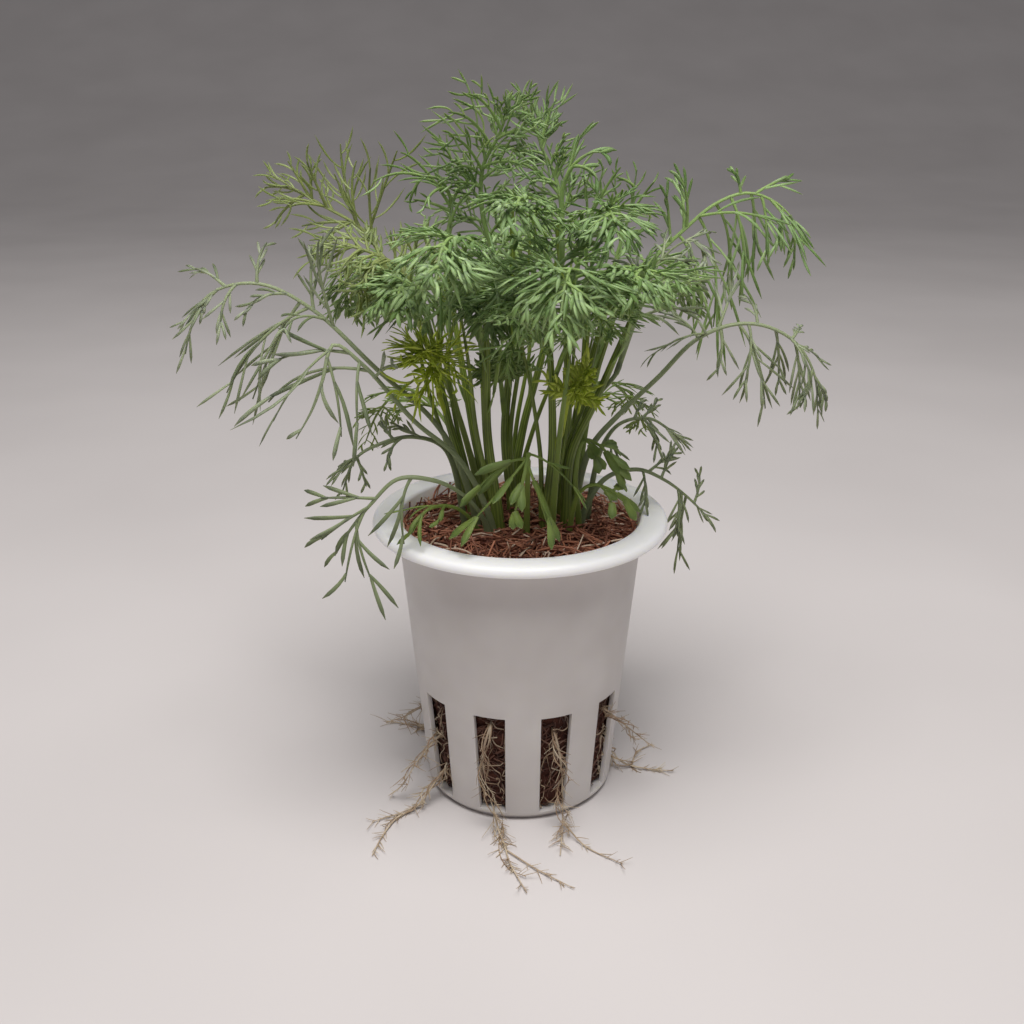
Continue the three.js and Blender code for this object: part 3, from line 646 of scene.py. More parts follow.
# %% Stem paths
STEMS = {
    "stem_left": [(-9, -1, 50), (-9.5, -1, 62), (-14.5, -1, 82), (-16, 0, 92), (-14, 1, 108)],
    "stem_front_left": [(-4, -6, 50), (-4.5, -6, 62), (-6.5, -7, 80), (-6.5, -8, 94), (-7, -9, 108)],
    "stem_middle": [(-1, 2, 50), (-1.5, 2, 62), (-3, 2, 76), (-1.5, 3, 97), (-1.5, 5, 120)],
    "stem_front": [(5, -6, 50), (5, -6, 62), (6, -7, 76), (5, -9, 98), (3.5, -10, 108)],
    "stem_right_middle": [(7.5, 1, 50), (8, 1, 62), (9.5, 1, 80), (9, 2, 97), (7, 4, 118)],
    "stem_right_leaning": [(9, -5.5, 50), (9, -5.5, 62), (9.8, -6, 75), (14, -8, 86), (21, -13, 106)],
    "stem_right": [(10, 5, 50), (10.5, 5, 62), (11.5, 5, 78), (14.5, 6, 91), (18, 8, 104)],
    "stem_back_left": [(-7, 8, 50), (-7, 8, 62), (-9.5, 9, 76), (-11.5, 12, 88), (-14, 15, 104)],
    "stem_back": [(0, 10, 50), (-1, 10, 62), (1, 12, 75), (5.5, 15, 92), (8, 18, 109)],
}
STEM_PATHS = {name: path(points) for name, points in STEMS.items()}
print(len(STEM_PATHS), "stems")

# %% Leaf table
LEAVES = {
    "leaf_left_arch": {
        "rib": [(-8, -5, 50), (-9, -6, 62), (-13, -8, 76), (-17, -9, 83), (-27, -10, 93),
                (-38, -10, 104), (-47, -11, 109), (-55, -11, 108), (-62, -11, 102)],
        "tips": [(0.65, -36, -12, 117), (0.7, -38, -6, 114), (0.71, -54, -15, 90),
                (0.73, -50, -12, 88), (0.76, -50, -14, 104), (0.82, -46, -8, 116),
                (0.86, -54, -15, 102), (0.9, -58, -12, 104), (0.92, -61, -14, 97)],
        "habit": "claw",
        "tone": "leaf_grey_green",
    },
    "leaf_left_low": {
        "rib": [(-5, -8, 50), (-6, -9, 62), (-12, -12, 76), (-20, -14, 84), (-29, -15, 95),
                (-34, -16, 99), (-36, -19, 93), (-38, -20, 88), (-41, -21, 83)],
        "tips": [(0.64, -23, -20, 96), (0.66, -46, -18, 89), (0.69, -30, -20, 84),
                (0.72, -45, -17, 96), (0.78, -45, -20, 86), (0.8, -33, -20, 83)],
        "habit": "hand",
        "tone": "leaf_grey_green",
    },
    "leaf_left_fan": {
        "rib": [(-7, 3, 50), (-8, 3, 62), (-13, 5, 82), (-19, 7, 96), (-25, 8, 107), (-30, 8, 116),
                (-38, 8, 121), (-48, 8, 127)],
        "tips": [(0.74, -28, 5, 128), (0.76, -23, 6, 131), (0.79, -31, 9, 129),
                (0.79, -34, 10, 132), (0.8, -42, 8, 117), (0.86, -40, 6, 129), (0.87, -48, 5, 122),
                (0.9, -44, 9, 129), (0.92, -49, 10, 124)],
        "arch": 0.04,
        "habit": "fan",
        "tone": "leaf_yellow_green",
    },
    "leaf_left_spray": {
        "on": ("stem_left", 97),
        "rib": [(-19, -3, 105), (-23, -4, 111), (-28, -6, 114), (-35, -7, 116)],
        "blade": (0.3, 4, 14),
        "face": (0, -0.6, 0.8),
        "habit": "spray",
        "tone": "leaf_yellow_green",
    },
    "leaf_front_tuft": {
        "on": ("stem_left", 86),
        "rib": [(-16.5, -6, 92), (-17.5, -11, 96), (-18, -16, 98)],
        "blade": (0.3, 5, 12),
        "face": (0, -0.6, 0.8),
        "habit": "tuft",
        "tone": "leaf_new_growth",
    },
    "leaf_right_tuft": {
        "on": ("stem_front", 80),
        "rib": [(9, -10, 88), (10.5, -12.5, 91.5), (12, -14.5, 94.5)],
        "blade": (0.4, 3, 7),
        "face": (0, -0.6, 0.8),
        "habit": "tuft",
        "tone": "leaf_new_growth",
    },
    "leaf_front_arch": {
        "rib": [(5.5, -9.5, 50), (6, -9.5, 62), (7, -12, 80), (8.5, -16, 98), (8.5, -22, 110),
                (7.5, -27, 114), (6, -33, 112), (5, -37, 106)],
        "blade": (0.6, 6, 16),
        "face": (0, -0.3, 1),
    },
    "leaf_front_right": {
        "on": ("stem_right_leaning", 98),
        "rib": [(20, -18, 108), (20, -23, 113), (18, -29, 113), (15, -34, 109)],
        "blade": (0.25, 4, 12),
        "face": (0, -0.3, 1),
    },
    "leaf_front_left": {
        "on": ("stem_front_left", 96),
        "rib": [(-9, -13, 112), (-12, -19, 118), (-14, -26, 117), (-15, -31, 112)],
        "blade": (0.3, 4, 14),
        "face": (0, -0.3, 1),
    },
    "leaf_front_top": {
        "on": ("stem_front", 98),
        "rib": [(3, -14, 114), (1, -18, 122), (-1, -24, 125), (-2, -30, 121)],
        "blade": (0.25, 4, 13),
        "face": (0, -0.3, 1),
    },
    "leaf_front_high": {
        "on": ("stem_right_middle", 104),
        "rib": [(10, -3, 114), (13, -8, 120), (15, -15, 122), (16, -22, 118)],
        "blade": (0.3, 4, 13),
        "face": (0, -0.3, 1),
    },
    "leaf_right_high": {
        "rib": [(10.5, 1.5, 50), (11.5, 1.5, 62), (14, 3, 82), (19, 6, 100), (26, 8, 110),
                (32, 8, 116), (38, 8, 121), (44, 8, 123), (50, 8, 121), (56, 8, 115)],
        "tips": [(0.68, 28, 6, 123), (0.7, 36, 5, 100), (0.72, 30, 6, 127), (0.75, 39, 8, 97),
                (0.79, 42, 12, 104), (0.82, 44, 6, 107), (0.84, 41, 9, 127), (0.86, 47, 11, 110),
                (0.88, 48, 6, 111), (0.93, 50, 6, 113), (0.95, 55, 11, 109)],
        "habit": "plume",
    },
    "leaf_right_arch": {
        "rib": [(10, -2, 50), (11, -2, 62), (14, -2, 75), (20, -1, 82), (27, -1, 89), (34, 0, 96),
                (41, 0, 99), (47, -1, 99), (53, -2, 96), (57, -3, 90), (58.5, -3, 82)],
        "tips": [(0.61, 27, 3, 101), (0.63, 25, -4, 94), (0.66, 38, -3, 90), (0.7, 48, -3, 83),
                (0.72, 43, -5, 88), (0.74, 44, 3, 104), (0.78, 51, 0, 87), (0.82, 55, 3, 98),
                (0.83, 54, -5, 85), (0.84, 60, 2, 91), (0.9, 54, -6, 84), (0.92, 60, -3, 84)],
        "habit": "claw",
        "tone": "leaf_grey_green",
    },
    "leaf_rim_left": {
        "rib": [(-6, -10, 50), (-7, -11, 62), (-11, -16, 70), (-17, -21, 75), (-23, -22, 75.5),
                (-28, -23, 71), (-32, -23, 66), (-35, -23, 61)],
        "tips": [(0.62, -22, -25, 64), (0.76, -37, -22, 72), (0.8, -37, -25, 65),
                (0.82, -33, -26, 57), (0.86, -28, -26, 57)],
        "habit": "hand",
        "tone": "leaf_grey_green",
    },
    "leaf_rim_front": {
        "rib": [(-8, -8, 50), (-8.5, -9, 60), (-13, -14, 67), (-18, -18, 68), (-21, -20, 64)],
        "tips": [(0.7, -16, -20, 66), (0.75, -23, -16, 67)],
        "habit": "hand",
    },
    "leaf_left_small": {
        "rib": [(-11, -3.6, 50), (-11.6, -3.6, 62), (-15, -5, 76), (-21, -7, 79), (-27, -8, 78),
                (-32, -8, 75), (-35, -9, 68)],
        "tips": [(0.6, -24, -9, 82), (0.7, -27, -6, 82), (0.8, -36, -12, 72), (0.85, -30, -10, 70)],
        "habit": "claw",
        "tone": "leaf_grey_green",
    },
    "leaf_front_droop": {
        "rib": [(1, -9, 50), (1, -10, 62), (1, -14, 74), (1, -18, 79), (0, -22, 76), (-2, -25, 69)],
        "tips": [(0.64, -9, -20, 72), (0.68, 10, -20, 72), (0.74, -10, -23, 67), (0.76, 5, -24, 67)],
        "habit": "lobed",
    },
    "leaf_rim_right": {
        "rib": [(9, -9, 50), (9.5, -9.5, 61), (11, -12, 69), (13.5, -13, 71), (17, -13.5, 70),
                (20, -13.5, 67.5)],
        "tips": [(0.8, 17, -16.5, 68), (0.88, 19.5, -11, 70)],
        "habit": "broad",
    },
    "leaf_right_low": {
        "rib": [(11, -6, 50), (11.5, -6.5, 61), (10.5, -9, 72), (12, -10, 79), (15, -11, 78),
                (18, -11.5, 74)],
        "tips": [(0.78, 14, -13, 76), (0.86, 18, -9, 77)],
        "habit": "broad",
    },
    "leaf_right_small": {
        "rib": [(13.5, -0.5, 50), (14, -0.5, 62), (16.5, 1, 74), (20, 1, 79), (26, 1, 80), (32, 1, 76)],
        "tips": [(0.6, 20, -3, 71), (0.8, 27, -3, 75), (0.8, 28, 5, 83), (0.9, 33, 4, 74)],
        "habit": "claw",
        "tone": "leaf_grey_green",
    },
    "leaf_rim_right_hanging": {
        "rib": [(12, -3.5, 50), (12.6, -3.5, 61), (17, -1, 68), (24, 2, 69), (30, 4, 66),
                (35, 5, 62), (40, 5, 57)],
        "tips": [(0.6, 25, -3, 63), (0.7, 32, 8, 72), (0.8, 32, 2, 54), (0.85, 34, 7, 48),
                (0.9, 38, 8, 66)],
        "habit": "claw",
        "tone": "leaf_grey_green",
    },
    "leaf_top_left": {
        "on": ("stem_middle", 108),
        "rib": [(-7, 4, 119), (-7, 3, 128), (-4, 1, 134), (-2, -1, 139)],
        "tips": [(0.42, -14, 2, 127), (0.5, -15, -1, 131), (0.6, -13, -4, 134), (0.62, 0, -4, 129),
                (0.74, -13, -5, 138), (0.8, 3, -4, 135), (0.86, -10, -5, 141), (0.92, 2, -2, 141)],
        "face": (0, -1, 0.3),
        "habit": "crown",
        "finer from": 0.16,
    },
    "leaf_top_middle": {
        "on": ("stem_right_middle", 108),
        "rib": [(8, 7, 121), (6.5, 8, 127), (4, 8.5, 132), (3.5, 9, 137)],
        "tips": [(0.3, -2, 6, 122), (0.35, 12, 8, 127), (0.5, -4, 7, 129), (0.6, 10.5, 9, 131),
                (0.8, 7.5, 12, 136), (0.82, 7, 9, 140), (0.86, 0, 8, 140)],
        "face": (0, -1, 0.3),
        "habit": "crown",
        "finer from": 0.1,
    },
    "leaf_top_right": {
        "on": ("stem_right_middle", 114),
        "rib": [(8, 1, 125), (10, 0, 129), (13, -1, 131), (15, -2, 131)],
        "tips": [(0.55, 11, 1, 134), (0.7, 14, -4, 126)],
        "face": (0, -1, 0.3),
        "habit": "hand",
    },
    "leaf_high_right": {
        "on": ("stem_right_middle", 96),
        "rib": [(11, 5, 108), (14, 7, 119), (16, 7, 128)],
        "tips": [(0.5, 17, 2, 117), (0.62, 12, 4, 126), (0.75, 19, 5, 128)],
        "face": (0.3, -1, 0.2),
        "habit": "sprig",
    },
    "leaf_right_upright": {
        "on": ("stem_right", 92),
        "rib": [(19, 12, 108), (22, 13, 119), (23, 12, 127)],
        "tips": [(0.5, 26, 10, 117), (0.62, 18, 11, 125), (0.75, 26, 9, 125)],
        "face": (0.3, -1, 0.2),
        "habit": "sprig",
    },
    "leaf_high_left": {
        "on": ("stem_left", 102),
        "rib": [(-14, 3, 114), (-13, 3, 122), (-15, 2, 126), (-20, 0, 127)],
        "tips": [(0.5, -9, 0, 124), (0.62, -22, 0, 131), (0.72, -27, -3, 126), (0.75, -18, -3, 121)],
        "face": (-0.3, -1, 0.3),
        "habit": "sprig",
    },
    "leaf_back_arch": {
        "on": ("stem_back", 84),
        "rib": [(1, 24, 104), (-1, 34, 112), (-3, 44, 108), (-4, 51, 98)],
        "blade": (0.35, 4, 14),
        "face": (0, 0.3, 1),
        "habit": "thick",
    },
    "leaf_back_left": {
        "on": ("stem_back_left", 84),
        "rib": [(-18, 20, 101), (-27, 29, 107), (-35, 37, 102), (-40, 42, 94)],
        "blade": (0.4, 4, 13),
        "face": (0, 0.3, 1),
        "habit": "thick",
    },
    "leaf_back_right": {
        "on": ("stem_right", 80),
        "rib": [(19, 14, 98), (27, 24, 107), (34, 33, 104), (39, 39, 95)],
        "blade": (0.4, 4, 13),
        "face": (0, 0.3, 1),
        "habit": "thick",
    },
    "leaf_back_left_low": {
        "rib": [(-9, 9, 50), (-9.5, 9.5, 62), (-16, 17, 76), (-24, 26, 80), (-31, 33, 73),
                (-35, 37, 64)],
        "blade": (0.5, 3, 10),
        "face": (0, 0.3, 1),
        "habit": "thin",
    },
    "leaf_back_right_low": {
        "rib": [(7, 8, 50), (7.5, 8.5, 62), (13, 17, 77), (20, 27, 81), (27, 35, 74), (31, 39, 66)],
        "blade": (0.5, 3, 10),
        "face": (0, 0.3, 1),
        "habit": "thin",
    },
    "leaf_back_upright": {
        "on": ("stem_back", 98),
        "rib": [(6, 24, 112), (6, 28, 121), (5, 30, 126)],
        "blade": (0.35, 3, 10),
        "face": (0, 1, 0.2),
        "habit": "sprig",
    },
    "leaf_back_high": {
        "on": ("stem_back_left", 94),
        "rib": [(-17, 18, 108), (-19, 22, 115), (-19, 27, 117)],
        "blade": (0.35, 3, 10),
        "face": (0, 1, 0.2),
        "habit": "sprig",
    },
    "leaf_middle_left": {
        "on": ("stem_left", 94),
        "rib": [(-15.5, -6, 103), (-18, -11, 108), (-22, -15, 109), (-26, -17, 106)],
        "blade": (0.3, 4, 14),
        "face": (0, -0.3, 1),
        "habit": "thick",
    },
    "leaf_middle_high": {
        "on": ("stem_middle", 92),
        "rib": [(0, -1, 101), (-2, -6, 106), (-4, -13, 107), (-7, -18, 103)],
        "blade": (0.3, 4, 14),
        "face": (0, -0.3, 1),
        "habit": "thick",
    },
    "leaf_middle_low": {
        "on": ("stem_front_left", 88),
        "rib": [(-3, -13, 102), (-1, -19, 107), (0, -25, 107), (0, -30, 103)],
        "blade": (0.3, 4, 12),
        "face": (0, -0.3, 1),
        "habit": "thin",
    },
    "leaf_middle_tuft": {
        "on": ("stem_middle", 84),
        "rib": [(-4, -1.5, 90), (-4, -4, 94)],
        "blade": (0.4, 3, 8),
        "face": (0, -0.6, 0.8),
        "habit": "tuft",
    },
    "leaf_middle_right": {
        "on": ("stem_front", 92),
        "rib": [(8.5, -15, 99), (11, -19, 104), (13, -24, 105.5), (15, -28, 103)],
        "blade": (0.3, 4, 12),
        "face": (0, -0.3, 1),
        "habit": "thin",
    },
    "leaf_right_middle": {
        "on": ("stem_right_leaning", 92),
        "rib": [(22, -6, 103), (26, -4, 112), (31, -7, 116), (34, -11, 113)],
        "blade": (0.3, 4, 13),
        "face": (0, -0.3, 1),
        "habit": "claw",
        "tone": "leaf_grey_green",
    },
}
print(len(LEAVES), "leaves, with", sum(len(leaf.get("tips", ())) for leaf in LEAVES.values()),
      "chosen tips")

# %% Habits
# How leaflets grow on each kind of leaf: the clusters on a branch, their length as a share
# of it, their width in millimetres, how far they spread, sag and curl, how flat they are,
# how far the first one is from the branch's foot, their kind, and the finer branches that a
# leaf of this kind has between its main ones.
Habit = namedtuple("Habit", "clusters share width spread sag curl flatness bare kind finer")
HABITS = {
    "claw": Habit(4, 0.50, 0.60, 1.0, 0.30, 3.0, 0.42, 0.2, STRAIGHT, 2),
    "plume": Habit(4, 0.56, 0.64, 0.8, 0.40, 2.6, 0.42, 0.2, STRAIGHT, 4),
    "hand": Habit(2, 0.72, 0.90, 0.8, 0.20, 3.0, 0.42, 0.3, STRAIGHT, 0),
    "lobed": Habit(2, 0.55, 1.80, 0.9, 0.20, 2.6, 0.24, 0.3, STRAIGHT, 0),
    "fan": Habit(5, 0.62, 0.46, 0.8, 0.00, 0.5, 0.42, 0.2, SINGLE, 8),
    "spray": Habit(5, 0.66, 0.50, 1.0, 0.00, 0.6, 0.42, 0.2, SINGLE, 20),
    "tuft": Habit(6, 0.66, 0.60, 1.2, 0.00, 0.8, 0.42, 0.2, SINGLE, 34),
    "ribbon": Habit(4, 0.68, 0.80, 1.0, 0.35, 2.8, 0.36, 0.2, OPEN, 8),
    "thick": Habit(4, 0.66, 0.88, 1.0, 0.50, 2.8, 0.36, 0.2, OPEN, 12),
    "thin": Habit(4, 0.60, 0.56, 1.0, 0.25, 2.6, 0.42, 0.2, OPEN, 3),
    "crown": Habit(4, 0.62, 0.46, 0.8, 0.15, 2.8, 0.42, 0.2, OPEN, 16),
    "sprig": Habit(3, 0.56, 0.46, 0.8, 0.00, 1.0, 0.42, 0.2, SINGLE, 3),
    "broad": Habit(2, 0.70, 2.00, 0.8, 0.30, 2.0, 0.16, 0.3, STRAIGHT, 0),
}
print(len(HABITS), "ways to bear leaflets")

# %% Ribs
PETIOLE = 0.75
STEM_RADIUS = 1.0
GAP = 0.35
FOOT_DROP = 5
FORWARD_AND_UP = (0, -0.6, 0.8)
BRANCH_STEPS = 10


def facing(leaf):
    """The way a leaf's upper side looks."""
    return Vector(leaf.get("face", FORWARD_AND_UP)).normalized()


def leaf_rib(leaf):
    """The midrib, from inside the coir or from just beside the stem that the leaf grows on."""
    if "on" not in leaf:
        return path(leaf["rib"])
    stem, height = leaf["on"]
    node = min(STEM_PATHS[stem], key=lambda p: abs(p.z - height * MM))
    aside = (Vector(leaf["rib"][0]) * MM - node) * Vector((1, 1, 0))
    start = node + aside.normalized() * (STEM_RADIUS + GAP + PETIOLE) * MM
    return path([tuple(start / MM), *leaf["rib"]])


def foot_line(leaf, rib):
    """The first few millimetres of a stalk, which leave the stem below the solid's start."""
    stem, height = leaf["on"]
    below = min(STEM_PATHS[stem], key=lambda p: abs(p.z - (height - FOOT_DROP) * MM))
    return path([tuple(p / MM) for p in (below, rib[0], rib[3])], BRANCH_STEPS)


print(sum("on" in leaf for leaf in LEAVES.values()), "leaves grow beside a stem")

# %% Main branches
BRANCH_ANGLE = math.radians(58)
BLADE_END = 0.96
BLADE_TAPER = 0.65
DROOP = 0.22


def branch_ends(leaf, rib):
    """Where each side branch leaves the rib, as a share of it, and where it ends."""
    if "tips" in leaf:
        return [(share, Vector(tip) * MM) for share, *tip in leaf["tips"]]
    start, pairs, reach = leaf["blade"]
    ends = []
    for i in range(pairs):
        share = start + (BLADE_END - start) * i / pairs
        forward = heading(rib, share)
        aside = forward.cross(Vector(leaf["face"])).normalized()
        length = reach * (1 - BLADE_TAPER * i / pairs) * MM
        for side in (-1, 1):
            tip = at(rib, share) + aside * side * length * math.sin(BRANCH_ANGLE)
            tip += forward * length * math.cos(BRANCH_ANGLE)
            tip.z -= DROOP * length
            ends.append((share, tip))
    return ends


print(f"a blade's branches leave at {math.degrees(BRANCH_ANGLE):.0f} degrees")

# %% Finer branches
FINER_TURN = 0.9
FINER_ANGLES = (0.6, 1.2)
FINER_LENGTHS = (0.55, 0.95)


def finer_ends(leaf, rib, ends, count, rng):
    """Branches at chance places between the main ones, turned every way round the rib."""
    first = leaf.get("finer from", min(share for share, _ in ends))
    longest = max((tip - at(rib, share)).length for share, tip in ends)
    finer = []
    for k in range(count):
        share = first + (BLADE_END - first) * (k + rng.random()) / count
        forward = heading(rib, share)
        aside = forward.cross(facing(leaf)).normalized() * (1 if k % 2 else -1)
        aside.rotate(Quaternion(forward, rng.uniform(-FINER_TURN, FINER_TURN)))
        angle = rng.uniform(*FINER_ANGLES)
        taper = 1 - BLADE_TAPER * (share - first) / (1 - first)
        length = longest * taper * rng.uniform(*FINER_LENGTHS)
        tip = at(rib, share) + (aside * math.sin(angle) + forward * math.cos(angle)) * length
        tip.z -= DROOP * length
        finer.append((share, tip))
    return finer


print("finer branches are up to", FINER_LENGTHS[1], "of a leaf's longest branch")

# %% The strands of a leaf
RIB_WIDTHS = (0.6, 0.52, 0.45, 0.38, 0.3, 0.12)
LONG_RIB_WIDTHS = (0.95, 0.85, 0.7, 0.62, 0.56, 0.52, 0.47, 0.42, 0.36, 0.3, 0.12)
FOOT_WIDTHS = (0.45, 0.6, 0.6)
BRANCH_WIDTHS = (0.34, 0.28, 0.26, 0.24, 0.12)
END_WIDTHS = (0.2, 0.1)
ARCH = 0.16
FINE_ARCH = 0.03
FORWARD_LEAN = 0.1
SWAY = 0.08
END_FROM = 0.8
END_REACH = 8
TWIST = 0.6


def blade_face(leaf, forward, branch):
    """The side a branch shows: square to the rib and the branch, on the side the leaf faces."""
    square = forward.cross(branch)
    if square.length < 1e-9:
        return facing(leaf)
    square.normalize()
    if square.dot(facing(leaf)) < 0:
        square.negate()
    return (square + facing(leaf) * TWIST).normalized()


def leaf_strands(leaf, habit, rng):
    """The rib, its foot on a stem, its branches, and its own end, which bears leaflets too."""
    rib, up = leaf_rib(leaf), facing(leaf)
    strands = [strand(rib, RIB_WIDTHS if "on" in leaf else LONG_RIB_WIDTHS, up)]
    if "on" in leaf:
        strands.append(strand(foot_line(leaf, rib), FOOT_WIDTHS, up))
    ends = branch_ends(leaf, rib)
    finer = finer_ends(leaf, rib, ends, habit.finer, rng)
    single = habit.kind == SINGLE
    for number, (share, tip) in enumerate(ends + finer):
        start, forward = at(rib, share), heading(rib, share)
        branch = tip - start
        sway = Vector([rng.uniform(-SWAY, SWAY) for _ in range(3)])
        lean = (forward * FORWARD_LEAN + sway) * branch.length
        arch = FINE_ARCH if single and number >= len(ends) else leaf.get("arch", ARCH)
        line = arc_path(start, tip, arch * branch.length, BRANCH_STEPS, lean)
        face = blade_face(leaf, forward, branch)
        strands.append(strand(line, BRANCH_WIDTHS, face, branch.length))
    last = max(END_FROM, max(share for share, _ in ends))
    shares = [last + (1 - last) * k / BRANCH_STEPS for k in range(BRANCH_STEPS + 1)]
    end_line = [at(rib, share) for share in shares]
    strands.append(strand(end_line, END_WIDTHS, up, END_REACH * MM))
    return strands


print(f"ribs narrow from {2 * LONG_RIB_WIDTHS[0]:.1f} to {2 * LONG_RIB_WIDTHS[-1]:.1f} mm")


# %% Growing the leaves
def make_leaf(name, leaf, seed):
    """One leaf as a finished piece in its own green."""
    habit = HABITS[leaf.get("habit", "ribbon")]
    strands = leaf_strands(leaf, habit, random.Random(seed))
    piece = new_piece(name.replace("leaf_", "dill_leaf_"), strand_mesh(name, strands))
    tone = leaf.get("tone", "leaf_green")
    run(piece, leaf_tree, {
        "Clusters": habit.clusters, "Leaflet share": habit.share,
        "Leaflet width": habit.width * MM, "Spread": habit.spread, "Sag": habit.sag,
        "Curl": habit.curl, "Flatness": habit.flatness, "Bare share": habit.bare,
        "First cluster": habit.kind[0], "Last cluster": habit.kind[1],
        "Seed": seed, "Material": LEAF_MATERIALS[tone],
    })
    return settle(piece, tone, name)


faces = 0
for seed, (name, leaf) in enumerate(LEAVES.items(), start=1):
    leaf_piece = make_leaf(name, leaf, seed)
    faces += len(leaf_piece.data.polygons)
print(f"{len(LEAVES)} leaves, {faces} faces")

# %% [markdown]
# ## Stems
#
# Dill stems are round, smooth and finely striped along their length, pale green lines
# between darker ones. A sweep with a ribbed ring gives both: the ring has a shallow groove
# at every other corner, and carries a `stripe` value that becomes the darker line. The
# foot swells a little where the first leaves wrap it.

# %% Strand tree
STRIPE_SEED = 7

strand_tree, strand_in = new_tree("Ribbed strand", [
    ("Sides", "NodeSocketInt", 12),
    ("Groove", "NodeSocketFloat", 0.07),
    ("Material", "NodeSocketMaterial", None),
])
tree = strand_tree
line = add(tree, "GeometryNodeMeshToCurve", {"Mesh": strand_in["Geometry"]})
along = add(tree, "GeometryNodeSplineParameter", output="Factor")
line = add(tree, STORE, {"Geometry": line, "Name": "along", "Value": along})
number = add(tree, "GeometryNodeCurveOfPoint", output="Curve Index")
tone = random_value(tree, 0.0, 1.0, STRIPE_SEED, 0, number)
line = add(tree, STORE, {"Geometry": line, "Name": "tone", "Value": tone})
ring = add(tree, "GeometryNodeCurvePrimitiveCircle",
           {"Resolution": strand_in["Sides"], "Radius": 1.0})
odd = add(tree, MATH, {0: add(tree, "GeometryNodeInputIndex"), 1: 2.0}, operation="MODULO")
ring = add(tree, STORE, {"Geometry": ring, "Name": "stripe", "Value": odd})
dent = add(tree, MATH, {0: odd, 1: strand_in["Groove"]}, operation="MULTIPLY")
dent = add(tree, MATH, {0: dent, 1: -1.0}, operation="MULTIPLY")
inward = add(tree, VECTOR, {0: add(tree, "GeometryNodeInputPosition"), "Scale": dent},
             operation="SCALE")
ring = add(tree, "GeometryNodeSetPosition", {"Geometry": ring, "Offset": inward})
thick = add(tree, NAMED, {"Name": "thick"}, data_type="FLOAT")
end_tree(tree, swept(tree, line, ring, thick), strand_in["Material"])
print(f"the strand tree has {len(tree.nodes)} nodes")

# %% Stem material
def stem_material():
    """A smooth green stem: paler lines between darker ones, shaded patches, a pale foot."""
    material, tree, shader = new_material(
        "Fresh dill stem", roughness=0.42, ior=1.45, subsurface=0.15, radius_mm=0.8)
    stripe = add(tree, CARRIED, output="Fac", attribute_name="stripe")
    stripe = add(tree, RANGE, {"Value": stripe, "From Min": 0.2, "From Max": 0.8}, "Result")
    own = add(tree, MIX, {"Factor": stripe, "A": "#8a9c42", "B": "#5e7224"}, **COLOUR)
    shade = patches(tree, 6.0, low=0.35, high=0.7, most=0.5)
    own = add(tree, MIX, {"Factor": shade, "A": own, "B": "#424c1a"}, **COLOUR)
    along = add(tree, CARRIED, output="Fac", attribute_name="along")
    values = {"Value": along, "From Max": 0.35, "To Min": 0.6, "To Max": 0.0}
    foot = add(tree, RANGE, values, "Result")
    own = add(tree, MIX, {"Factor": foot, "A": own, "B": "#84924a"}, **COLOUR)
    coloured(tree, shader, own, size_mm=0.3, depth_mm=0.03, stretch=(1, 1, 0.15))
    return material


STEM_GREEN = stem_material()
print(STEM_GREEN.name)

# %% Stems and the thin leaf stalks beside them
STEM_WIDTHS = (1.25, 1.35, 1.1, 0.92, 0.84, 0.78, 0.72, 0.65, 0.55, 0.45)
PETIOLE_WIDTHS = (0.9, 0.85, 0.6, 0.52, 0.46, 0.42, 0.38, 0.3, 0.2)
PETIOLES = 2
PETIOLE_STEPS = 40
PETIOLE_TOPS = (0.84, 0.98)
PETIOLE_LEANS = (4.0, 7.0)
FORE_AND_AFT = 0.6
BEND = 1.3
STALK_REACH = 19 * MM
STEM_SIDES = 20
STEM_GROOVE = 0.06
TO_FRONT = (0, -1, 0)
petiole_rng = random.Random(12)


def petiole(stem):
    """A thin leaf stalk that shares the stem's foot, leans away and ends under the foliage."""
    turn = petiole_rng.uniform(0, 2 * math.pi)
    away = Vector((math.cos(turn), FORE_AND_AFT * math.sin(turn), 0))
    away = away * petiole_rng.uniform(*PETIOLE_LEANS) * MM
    top = petiole_rng.uniform(*PETIOLE_TOPS)
    tip = at(stem, top).x
    away.x = min(max(away.x, -STALK_REACH - tip), STALK_REACH - tip)
    shares = [k / PETIOLE_STEPS for k in range(PETIOLE_STEPS + 1)]
    return [at(stem, top * share) + away * share**BEND for share in shares]


for name, line in STEM_PATHS.items():
    strands = [strand(line, STEM_WIDTHS, TO_FRONT)]
    strands += [strand(petiole(line), PETIOLE_WIDTHS, TO_FRONT) for _ in range(PETIOLES)]
    piece = new_piece("dill_" + name, strand_mesh(name, strands))
    run(piece, strand_tree,
        {"Sides": STEM_SIDES, "Groove": STEM_GROOVE, "Material": STEM_GREEN})
    settle(piece, "stem_green", name)
print(f"{len(STEM_PATHS)} stems of {2 * STEM_WIDTHS[0]:.1f} to {2 * STEM_WIDTHS[-1]:.1f} mm, "
      f"each with {PETIOLES} thin leaf stalks")

# %% [markdown]
# ## The net pot
#
# The pot is injection moulded in white polypropylene: one thin wall with ten tall slots, a
# wide rolled rim and a stepped foot. It could be turned and cut with booleans, but those
# leave ragged faces round every slot. Instead its section is drawn once as a closed loop
# and turned in columns that follow the slots' edges, so a slot is just a patch of columns
# with no wall, closed at its sides, and a bevel can soften every edge evenly. Only the
# drains, ten plain bars through the flat floor, are cut.

